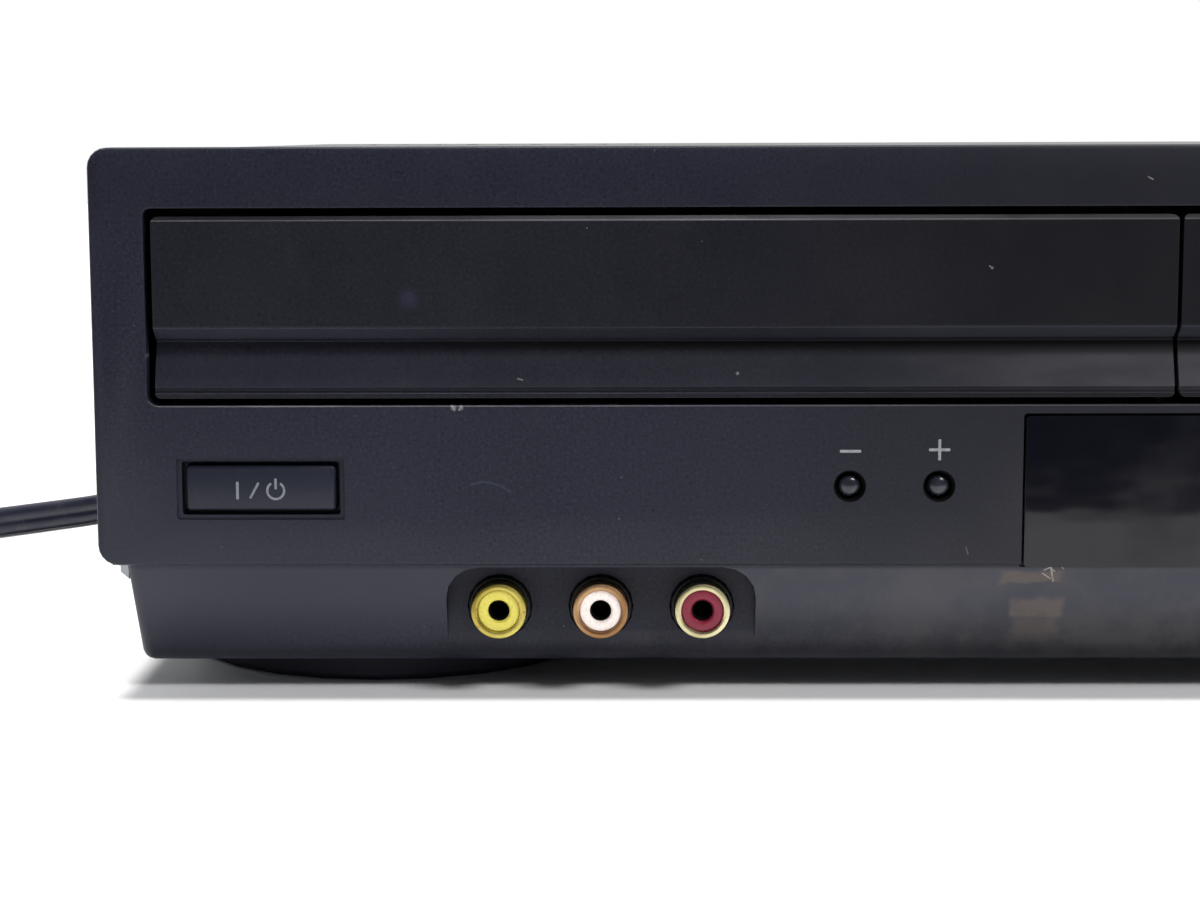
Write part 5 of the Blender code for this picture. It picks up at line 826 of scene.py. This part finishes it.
def cord_section():
    """Outline of the flat two-core cord: long axis first, with a groove along each flat side."""
    half, end = CORD_THICKNESS / 2, (CORD_WIDTH - CORD_THICKNESS) / 2
    outline = []
    for sign in (1, -1):
        for i in range(9):
            turn = math.pi * i / 8
            outline.append((sign * (end + half * math.sin(turn)), sign * half * math.cos(turn)))
        for share in (0.55, 0.3, 0.0, -0.3, -0.55):
            dip = CORD_GROOVE * max(0.0, 1 - abs(share) / 0.5)
            outline.append((sign * end * share, -sign * (half - dip)))
    return outline


def cord_path():
    """The cord's own line: the free run on the floor, the coil in two layers, and the tail to the plug."""
    count = round(COIL_TURNS * COIL_STEPS)
    rolling = [COIL_ROLL * min(1.0, i / ROLL_STEPS) for i in range(count + 1)]
    coil = []
    for i, now in enumerate(rolling):
        turn = COIL_TURNS * i / count
        radius = COIL_RADIUS - COIL_PITCH * min(turn, COIL_TURNS - turn)
        climb = min(1.0, max(0.0, (turn - COIL_TURNS / 2) * 2 + 0.5))
        rest = CORD_THICKNESS / 2 + (CORD_WIDTH - CORD_THICKNESS) / 2 * math.cos(now) + FLOOR_GAP
        height = rest + (COIL_PITCH - COIL_NEST) * eased(climb)
        angle = math.radians(COIL_START) - 2 * math.pi * turn
        coil.append(COIL_CENTRE + Vector((radius * math.cos(angle), radius * math.sin(angle), height)))
    lead = coil[0] - (coil[1] - coil[0]).normalized() * COIL_LEAD
    run = smooth_curve(CORD_ROUTE + [tuple(lead)], CORD_SPACING)
    way = coil[-1] - coil[-2]
    way.z = 0
    way.normalize()
    drop = coil[-1].z - PLUG_HEIGHT / 2
    tail, unrolling = [], []
    for i in range(1, TAIL_STEPS + 1):
        share = i / TAIL_STEPS
        fall = eased(min(1.0, share / TAIL_FALL))
        tail.append(coil[-1] + way * TAIL * share - Vector((0, 0, drop * fall)))
        unrolling.append(COIL_ROLL + (math.pi / 2 - COIL_ROLL) * share)
    return run + coil + tail, [0.0] * len(run) + rolling + unrolling


def along_path(path, rolls, outline):
    """Rings of the outline along the path: the outline's first axis stands up where the roll is 0."""
    rings = []
    for i, point in enumerate(path):
        heading = (path[min(i + 1, len(path) - 1)] - path[max(i - 1, 0)]).normalized()
        side = heading.cross(Vector((0, 0, 1))).normalized()
        up = side.cross(heading)
        turn_up = up * math.cos(rolls[i]) + side * math.sin(rolls[i])
        turn_side = side * math.cos(rolls[i]) - up * math.sin(rolls[i])
        rings.append([point + turn_up * u + turn_side * v for u, v in outline])
    return rings


def oval(wide, tall, power, count=40):
    """Outline between an ellipse (power 2) and a rounded box (power above 2)."""
    def reach(half, way):
        return half * math.copysign(abs(way) ** (2 / power), way)
    return [(reach(wide / 2, across), reach(tall / 2, up)) for across, up in circle(1.0, count)]


def make_relief():
    """Tapered, ribbed strain relief round the flat cord where it leaves the rear panel."""
    low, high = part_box("cord_strain_relief")
    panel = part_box("rear_panel")[1].y
    middle = (low + high) / 2
    stations = [(low.y, 11.6, 11.6, 3.0)]
    for past, size in ((-0.2, 11.8), (0.3, 17.4), (0.8, 17.8), (2.6, 17.8), (3.2, 17.2)):
        stations.append((panel + past * MM, size, size, 3.0))
    start, end = panel + 3.3 * MM, high.y
    for i in range(RELIEF_RIBS):
        for share, swell in ((0.0, 0.0), (0.12, 0.9), (0.5, 1.0), (0.72, 0.9), (0.80, 0.0)):
            along = (i + share) / RELIEF_RIBS
            wide, tall = (root + (tip - root) * along ** 0.8 - RIB_DEPTH * (1 - swell)
                          for root, tip in ((12.2, 6.0), (12.6, 8.4)))
            stations.append((start + (end - start) * along, wide, tall, 2.6))
    stations += [(end - 0.2 * MM, 5.6, 8.0, 2.4), (end, 4.6, 7.2, 2.4)]
    rings = [[Vector((middle.x + u * MM, y, middle.z + v * MM)) for u, v in oval(wide, tall, power)]
             for y, wide, tall, power in stations]
    relief = add_piece("strain_relief", [skin(rings)], "cord_jacket", smooth_angle=50.0)
    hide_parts("cord_strain_relief")
    return relief


def plug_stations():
    """Sections of the plug from the cord's end on, in millimetres: along, width, height and squareness."""
    rows = [(-6.0, 6.6, 4.0, 2.4), (-5.6, 7.2, 4.8, 2.4)]
    for i in range(4):
        near, wide, tall = -5.4 + i * 3.2, 7.4 + i * 0.7, 5.4 + i * 0.9
        rows += [(near + ahead, wide + wider, tall + taller, 2.6) for ahead, wider, taller in (
            (0.0, 0.0, 0.0), (1.7, 0.3, 0.4), (1.9, -0.9, -0.9), (3.0, -0.7, -0.7))]
    rows += [(7.6, 10.4, 9.0, 2.8), (9.5, 13.4, 10.8, 3.2), (12.0, 17.2, 12.6, 3.6), (14.0, 18.9, 13.6, 4.0)]
    for i in range(4):
        rows += [(15.0 + i * 2.2 + ahead, wide, tall, 4.4) for ahead, wide, tall in (
            (0.0, 19.4, 14.0), (0.9, 19.4, 14.0), (1.1, 18.5, 13.7), (1.9, 18.5, 13.7))]
    return rows + [(24.4, 19.6, 14.5, 4.4), (27.2, 19.8, 14.8, 4.8), (27.8, 19.2, 14.2, 4.8),
                   (28.0, 18.2, 13.2, 4.8)]


def make_plug(end, heading):
    """Moulded two-blade plug with a ribbed neck and grips on its sides."""
    way = Vector((heading.x, heading.y, 0)).normalized()
    across = Vector((-way.y, way.x, 0))
    rings = [[end + way * along * MM + across * u * MM + Vector((0, 0, v * MM))
              for u, v in oval(wide, tall, power)] for along, wide, tall, power in plug_stations()]
    plug = add_piece("plug_body", [skin(rings)], "cord_jacket", smooth_angle=40.0)
    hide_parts("mains_plug")
    return plug


def make_tie():
    """Strap with a moulded head that holds the coil together, on the side away from the unit."""
    out = Vector((math.cos(TIE_ANGLE), math.sin(TIE_ANGLE), 0))
    along = Vector((-out.y, out.x, 0))
    right, left = TIE_OUTER - TIE_CORNER, TIE_INNER + TIE_CORNER
    upper, lower = TIE_HIGH - TIE_CORNER, TIE_LOW + TIE_CORNER
    line = []
    for quarter, (u, v) in enumerate(((right, upper), (left, upper), (left, lower), (right, lower))):
        for i in range(7):
            turn = math.radians(90 * quarter + 90 * i / 6)
            line.append(Vector((u + TIE_CORNER * math.cos(turn), v + TIE_CORNER * math.sin(turn))))
    rings = []
    for i, point in enumerate(line):
        step = (line[(i + 1) % len(line)] - line[i - 1]).normalized()
        normal = Vector((step.y, -step.x))
        spots = [(across, point + normal * lift * MM) for across, lift in TIE_SECTION]
        rings.append([COIL_CENTRE + out * spot.x + Vector((0, 0, spot.y)) + along * across * MM
                      for across, spot in spots])
    top = COIL_CENTRE + out * (TIE_INNER + TIE_OUTER) / 2 + Vector((0, 0, TIE_HIGH))
    place = Matrix.Translation(top) @ Matrix((
        (out.x, along.x, 0, 0), (out.y, along.y, 0, 0), (0, 0, 1, 0), (0, 0, 0, 1)))
    head = [stack(place, oval(wide, wide + 0.2, 5.0, 24), [(1.0, z)])[0]
            for wide, z in ((5.8, -0.4), (6.4, 0.0), (6.4, 0.5), (5.6, 0.7))]
    return add_piece("coil_tie", [skin(rings, closed=True), skin(head)], "black_plastic", smooth_angle=40.0)


def make_cord():
    path, rolls = cord_path()
    rings = along_path(path, rolls, cord_section())
    cord = add_piece("cord", [skin(rings)], "cord_jacket", smooth_angle=60.0)
    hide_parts("mains_cord", "mains_cord_coil")
    relief = make_relief()
    plug = make_plug(path[-1], path[-1] - path[-2])
    tie = make_tie()


# front sockets, with turned profiles as (radius, along) in millimetres

def shell_shape(reach):
    """Profile of a plated shell with a rolled lip; its tip is at 0 and its root at -reach."""
    return [(3.12, -reach), (4.15, -reach), (4.15, -2.6), (4.05, -2.4), (4.05, -1.3), (4.15, -1.1),
            (4.15, -0.30), (4.06, -0.10), (3.85, 0.0), (3.45, 0.0), (3.22, -0.08), (3.12, -0.28),
            (3.12, -reach)]


def core_shape(reach):
    """Profile of a dished insulator with its bore."""
    return [(0.0, -reach), (3.05, -reach), (3.10, -1.2), (3.10, -0.55), (3.00, -0.45), (2.2, -0.33),
            (1.85, -0.40), (1.62, -0.65), (1.60, -0.9), (1.60, -6.0), (0.0, -6.0)]


SLEEVE_SHAPE = [(0.0, -5.4), (1.28, -5.4), (1.34, -1.25), (1.46, -1.05), (1.58, -1.1), (1.59, -5.9),
                (0.0, -5.9)]
COLLAR_SHAPE = [(4.22, -2.0), (4.22, 0.95), (4.30, 1.05), (4.46, 1.05), (4.58, 0.92), (4.66, 0.10),
                (4.72, 0.02), (4.72, -2.0), (4.22, -2.0)]
REAR_COLLAR_SHAPE = [(4.2, -0.9), (5.4, -0.05), (5.9, 0.02), (5.9, 0.9), (5.6, 1.2), (4.6, 1.2),
                     (4.2, 1.0), (4.2, -0.9)]
COLLAR_SET = 0.001
FRONT_SOCKETS = {"yellow": "socket_plating", "white": "socket_plating_worn", "red": "socket_plating"}


def make_front_sockets():
    """Turned shells with rolled lips, dished insulators, and a dark sleeve and a collar each."""
    rim_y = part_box("front_jack_block")[0].y + COLLAR_SET
    for tint, plating in FRONT_SOCKETS.items():
        low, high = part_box("jack_shell_" + tint)
        middle = (low + high) / 2
        place = at_front(middle.x, low.y, middle.z)
        shell = turned(shell_shape((high.y - low.y) / MM), place)
        piece = add_piece("socket_shell_" + tint, [shell], plating, OVERRIDES.get("jack_shell_" + tint))
        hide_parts("jack_shell_" + tint)
        core = turned(core_shape((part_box("jack_insulator_" + tint)[1].y - low.y) / MM), place)
        piece = add_piece("socket_core_" + tint, [core], "socket_" + tint)
        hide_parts("jack_insulator_" + tint)
        # the near-black sleeve in the bore is painted shade
        add_piece("socket_sleeve_" + tint, [turned(SLEEVE_SHAPE, place, 32)], "black_plastic", RECESS_BLACK_PAINTED_SHADE)
        collar = turned(COLLAR_SHAPE, at_front(middle.x, rim_y, middle.z))
        add_piece("socket_collar_" + tint, [collar], "black_plastic")


# rear panel and fasteners

REAR_TINTS = (("white", "red", "yellow", "white", "red"), ("green", "blue", "red", "yellow", "black"))
REAR_PITCH_X, REAR_PITCH_Z, REAR_LOW_Z, REAR_SET = 0.0150, 0.0160, 0.0300, 0.0001
HOUSING_EASE, HOUSING_GAP, HOUSING_SQUARENESS = 0.8, 0.3, 24.0
SHELL_PAST_PANEL = 1.2
AERIAL_HALF_PITCH, AERIAL_Z, THREAD_PITCH, NUT_RADIUS = 0.0095, 0.0330, 0.8, 6.2
NUT_STEPS = ((0.99, 0.02), (1.0, 0.25), (1.0, 1.7), (0.94, 2.1))
# Screw places in metres, and each kind's radius and height in millimetres
COVER_SCREW_SHARES, COVER_SCREW_Z, FOOT_SCREW_Z = (0.16, 0.80), 0.0330, 0.0030
BASE_SCREW_X, BASE_SCREW_Y = (-0.150, -0.040, 0.060, 0.160), (-0.085, 0.095)
BLOCK_SCREW_Z, SCREW_MARGIN = 0.0380, 0.0045
REAR_SCREWS = [(-0.198, 0.0700), (-0.020, 0.0740), (0.198, 0.0700), (-0.198, 0.0560), (0.118, 0.0380),
               (0.205, 0.0480), (-0.150, 0.0240), (0.120, 0.0220)]
COVER_SCREW, REAR_SCREW, BASE_SCREW, FOOT_SCREW = (2.9, 0.72), (2.7, 1.7), (2.8, 1.4), (3.6, 1.5)


def make_rear_sockets():
    """Ten sockets in two rows: housing behind the panel, a collar, shell, insulator and sleeve each."""
    low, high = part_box("rear_jack_block")
    back, panel = (corner.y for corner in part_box("rear_panel"))
    tip = high.y - REAR_SET
    middle = middle_of("rear_jack_block")
    depth = (back - low.y) / MM - HOUSING_GAP
    outline = oval((high.x - low.x) / MM - HOUSING_EASE, (high.z - low.z) / MM - HOUSING_EASE,
                   HOUSING_SQUARENESS, 48)
    rings = stack(at_rear(middle.x, low.y, middle.z), outline,
                  ((0.97, 0.0), (1.0, 0.8), (1.0, depth - 0.5), (0.99, depth)))
    housing = add_piece("rear_jack_housing", [skin(rings)], "black_plastic")
    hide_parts("rear_jack_block")
    shells, sleeves, collars, cores = [], [], [], {}
    reach = (tip - panel) / MM + SHELL_PAST_PANEL
    for row, tints in enumerate(REAR_TINTS):
        for column, tint in enumerate(tints):
            x, z = low.x + (column + 0.5) * REAR_PITCH_X, REAR_LOW_Z + row * REAR_PITCH_Z
            place = at_rear(x, tip, z)
            shells.append(turned(shell_shape(reach), place, 32))
            sleeves.append(turned(SLEEVE_SHAPE, place, 16))
            cores.setdefault(tint, []).append(turned(core_shape(reach), place, 32))
            collars.append(turned(REAR_COLLAR_SHAPE, at_rear(x, panel, z), 32))
    add_piece("rear_socket_shells", shells, "socket_plating")
    # the near-black sleeves in the bores are painted shade
    add_piece("rear_socket_sleeves", sleeves, "black_plastic", RECESS_BLACK_PAINTED_SHADE)
    add_piece("rear_socket_collars", collars, "black_plastic")
    for tint, groups in cores.items():
        slot = "socket_" + tint if "socket_" + tint in SLOTS.values() else "black_plastic"
        add_piece("rear_socket_core_" + tint, groups, slot, REAR_PLASTICS.get(tint))


def aerial_thread(reach):
    """Profile of a threaded sleeve that stands this far out."""
    profile = [(4.3, 0.0), (4.75, 0.0)]
    along = 0.2
    while along + THREAD_PITCH < reach - 0.5:
        profile += [(radius, along + THREAD_PITCH * share) for radius, share in (
            (4.72, 0.0), (5.02, 0.35), (5.02, 0.5), (4.72, 0.85))]
        along += THREAD_PITCH
    return profile + [(4.72, reach - 0.5), (4.62, reach - 0.05), (4.2, reach), (3.2, reach),
                      (3.0, reach - 0.2), (3.0, reach - 1.4), (2.9, reach - 1.4), (2.9, 0.0), (4.3, 0.0)]


def make_aerial_sockets():
    """Threaded sleeves, nuts and white insulators on the tuner's two aerial sockets."""
    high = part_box("tuner_can")[1]
    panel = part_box("rear_panel")[1].y
    threads, nuts, insulators = [], [], []
    reach = (high.y - REAR_SET - panel) / MM
    insulator = [(radius, reach - back) for radius, back in (
        (0.55, 3.0), (2.88, 3.0), (2.88, 1.6), (2.6, 1.3), (0.75, 1.3), (0.55, 1.5), (0.55, 3.0))]
    for side in (-1, 1):
        place = at_rear(middle_of("tuner_can").x + side * AERIAL_HALF_PITCH, panel, AERIAL_Z)
        threads.append(turned(aerial_thread(reach), place, 40))
        nuts.append(skin(stack(place, circle(NUT_RADIUS, 6), NUT_STEPS)))
        insulators.append(turned(insulator, place, 32))
    add_piece("aerial_threads", threads, "bright_steel")
    add_piece("aerial_nuts", nuts, "bright_steel", smooth_angle=25.0)
    add_piece("aerial_insulators", insulators, "white_plastic")


def screw(place, radius, height, washer=True):
    """Domed cross-head screw on the plane through place, in millimetres."""
    arm, half, deep = radius * 0.62, radius * 0.13, height * 0.75
    corner = [(arm, 0), (arm, half / 2), (arm, half), ((arm + half) / 2, half),
              (half, half), (half, (arm + half) / 2), (half, arm), (half / 2, arm)]
    cross = []
    for _ in range(4):
        cross += corner
        corner = [(-v, u) for u, v in corner]
    steps = [(1.28, -0.3), (1.28, height * 0.22), (1.0, height * 0.26)] if washer else [(1.0, -0.3)]
    steps += [(1.0, height * 0.45), (0.94, height * 0.72), (0.82, height * 0.92), (0.70, height)]
    slot = ((1.0, height), (0.88, height - deep * 0.6), (0.5, height - deep))
    return skin(stack(place, circle(radius, len(cross)), steps) + stack(place, cross, slot))


def facing(x, y, z, outward):
    """A place on the case whose local Z axis points outward along a world axis."""
    return Matrix.Translation((x, y, z)) @ Vector(outward).to_track_quat("Z", "Y").to_matrix().to_4x4()


def make_screws():
    low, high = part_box("top_cover")
    sides = [screw(facing(x, low.y + (high.y - low.y) * share, COVER_SCREW_Z, (side, 0, 0)), *COVER_SCREW)
             for side, x in ((-1, low.x), (1, high.x)) for share in COVER_SCREW_SHARES]
    add_piece("cover_screws", sides, "painted_steel", SCREW_BLACK, 40.0)
    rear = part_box("rear_panel")[1].y
    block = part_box("rear_jack_block")
    beside = [(x, BLOCK_SCREW_Z) for x in (block[0].x - SCREW_MARGIN, block[1].x + SCREW_MARGIN)]
    behind = [screw(facing(x, rear, z, (0, 1, 0)), *REAR_SCREW) for x, z in REAR_SCREWS + beside]
    add_piece("rear_screws", behind, "painted_steel", SCREW_BLACK, 40.0)
    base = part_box("bottom_chassis")[0].z
    under = [screw(facing(x, y, base, (0, 0, -1)), *BASE_SCREW) for x in BASE_SCREW_X for y in BASE_SCREW_Y]
    add_piece("base_screws", under, "bright_steel", smooth_angle=40.0)
    feet = [screw(facing(middle.x, middle.y, FOOT_SCREW_Z, (0, 0, -1)), *FOOT_SCREW, False)
            for middle in map(middle_of, FEET)]
    add_piece("foot_screws", feet, "bright_steel", smooth_angle=40.0)


# keys and marks

DOME_RADIUS, DOME_RISE, DOME_STEPS, DOME_WALL = 1.56, 0.9, 8, 0.8
DOME_FLANGE = 2.0
LINER_SHAPE = [(2.05, -2.4), (2.05, -0.90), (2.20, -0.45), (2.44, -0.04), (2.47, -0.3), (2.47, -2.4),
               (2.05, -2.4)]
# Strokes in millimetres of x and z; a power bar ends with its share of the stroke, a sign with its rise
MARK_SINK, KEY_MARK_RISE = 0.02, 0.05
POWER_STROKE, POWER_RISE, POWER_X, POWER_Z, POWER_RADIUS = 0.40, 0.06, -188.40, 31.75, 1.25
POWER_BARS = [(-194.05, 30.45, -194.05, 33.10, 1.0), (-192.20, 30.60, -190.90, 32.95, 0.85),
              (-188.40, 31.95, -188.40, 33.55, 0.9)]
SIGN_STROKE = 0.42
SIGN_BARS = [(-105.40, 37.5, -102.30, 37.5, 0.03), (-92.35, 37.7, -89.25, 37.7, 0.03),
             (-90.80, 36.15, -90.80, 39.25, 0.032)]
KEYS = [word + "_button" for word in ("open_close", "stop", "tape_eject", "rewind", "play", "forward")]


def make_round_keys():
    """Domed tracking keys, each with a near-black liner in its hole, which paints the hole's shade."""
    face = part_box("front_bezel")[0].y
    for name in ("tracking_down_button", "tracking_up_button"):
        low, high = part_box(name)
        middle = middle_of(name)
        depth = (low.y - high.y) / MM
        profile = [(0.0, depth), (DOME_FLANGE, depth), (DOME_FLANGE, depth + DOME_WALL),
                   (DOME_RADIUS, depth + DOME_WALL)]
        for i in range(DOME_STEPS + 1):
            turn = math.radians(90 * i / DOME_STEPS)
            radius = DOME_RADIUS * math.cos(turn) if i < DOME_STEPS else 0.0
            profile.append((radius, DOME_RISE * math.sin(turn) - DOME_RISE))
        dome = turned(profile, at_front(middle.x, low.y, middle.z))
        piece = add_piece(name + "_dome", [dome], "gloss_black", DOME, 30.0, name)
        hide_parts(name)
        liner = turned(LINER_SHAPE, at_front(middle.x, face, middle.z))
        add_piece(name.replace("button", "hole_liner"), [liner], "charcoal_plastic", RECESS_BLACK_PAINTED_SHADE)


def bar(x0, z0, x1, z1, width):
    """Outline of a straight stroke, in millimetres on a front face, with rounded corners cut."""
    start, end = Vector((x0, z0)), Vector((x1, z1))
    way = (end - start).normalized()
    side = Vector((-way.y, way.x)) * width / 2
    cut = way * width * 0.22
    return [tuple(p) for p in (
        start + side + cut, start + side * 0.6, start - side * 0.6, start - side + cut,
        end - side - cut, end - side * 0.6, end + side * 0.6, end + side - cut)]


def raised(outline, y, height):
    """A stroke from an outline in millimetres, raised from the plane at y towards the viewer."""
    return skin(stack(at_front(0, y, 0), outline, ((1.0, -MARK_SINK), (1.0, height))))


def open_circle(y, width, gap=32, count=28):
    """The power symbol's circle, open by this angle to each side of its top."""
    place = at_front(0, y, 0)
    rings = []
    for i in range(count + 1):
        turn = math.radians(90 + gap + (360 - 2 * gap) * i / count)
        inner, outer = ((POWER_X + radius * math.cos(turn), POWER_Z + radius * math.sin(turn))
                        for radius in (POWER_RADIUS - width / 2, POWER_RADIUS + width / 2))
        rings.append([place @ Vector((u * MM, v * MM, rise * MM)) for (u, v), rise in (
            (inner, -MARK_SINK), (outer, -MARK_SINK), (outer, POWER_RISE), (inner, POWER_RISE))])
    return skin(rings)


def make_marks():
    """On/standby symbol on the power key, minus and plus above the round keys."""
    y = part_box("power_button")[0].y
    parts = [raised(bar(*ends, POWER_STROKE * share), y, POWER_RISE) for *ends, share in POWER_BARS]
    parts.append(open_circle(y, POWER_STROKE * 0.85))
    add_piece("power_mark", parts, "charcoal_plastic", KEY_PRINT, body="power_button")
    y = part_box("front_bezel")[0].y
    parts = [raised(bar(*ends, SIGN_STROKE), y, rise) for *ends, rise in SIGN_BARS]
    add_piece("tracking_marks", parts, "charcoal_plastic", PALE_PRINT)


def key_outlines(kind):
    """Outlines of a key's mark, centred on the origin, in millimetres."""
    def arrow(x, way, size):
        back, tip = x - way * size * 0.45, x + way * size * 0.55
        return [(back, size * 0.55), (back, -size * 0.55), (tip, 0.0)]
    if kind == "play_button":
        return [arrow(0, 1, 1.5)]
    if kind == "stop_button":
        return [[(-0.65, -0.65), (0.65, -0.65), (0.65, 0.65), (-0.65, 0.65)]]
    if kind in ("rewind_button", "forward_button"):
        way = -1 if kind == "rewind_button" else 1
        return [arrow(-0.62, way, 1.15), arrow(0.62, way, 1.15)]
    return [[(-0.85, -0.10), (0.85, -0.10), (0.0, 0.85)],
            [(-0.85, -0.75), (0.85, -0.75), (0.85, -0.42), (-0.85, -0.42)]]


def make_key_marks():
    for name in KEYS:
        middle = middle_of(name) / MM
        parts = [raised([(middle.x + u, middle.z + v) for u, v in outline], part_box(name)[0].y, KEY_MARK_RISE)
                 for outline in key_outlines(name)]
        add_piece(name + "_mark", parts, "charcoal_plastic", KEY_PRINT, body=name)


make_camera()
make_studio()
make_cord()
make_front_sockets()
make_rear_sockets()
make_aerial_sockets()
make_screws()
make_round_keys()
make_marks()
make_key_marks()
finish_nodes()
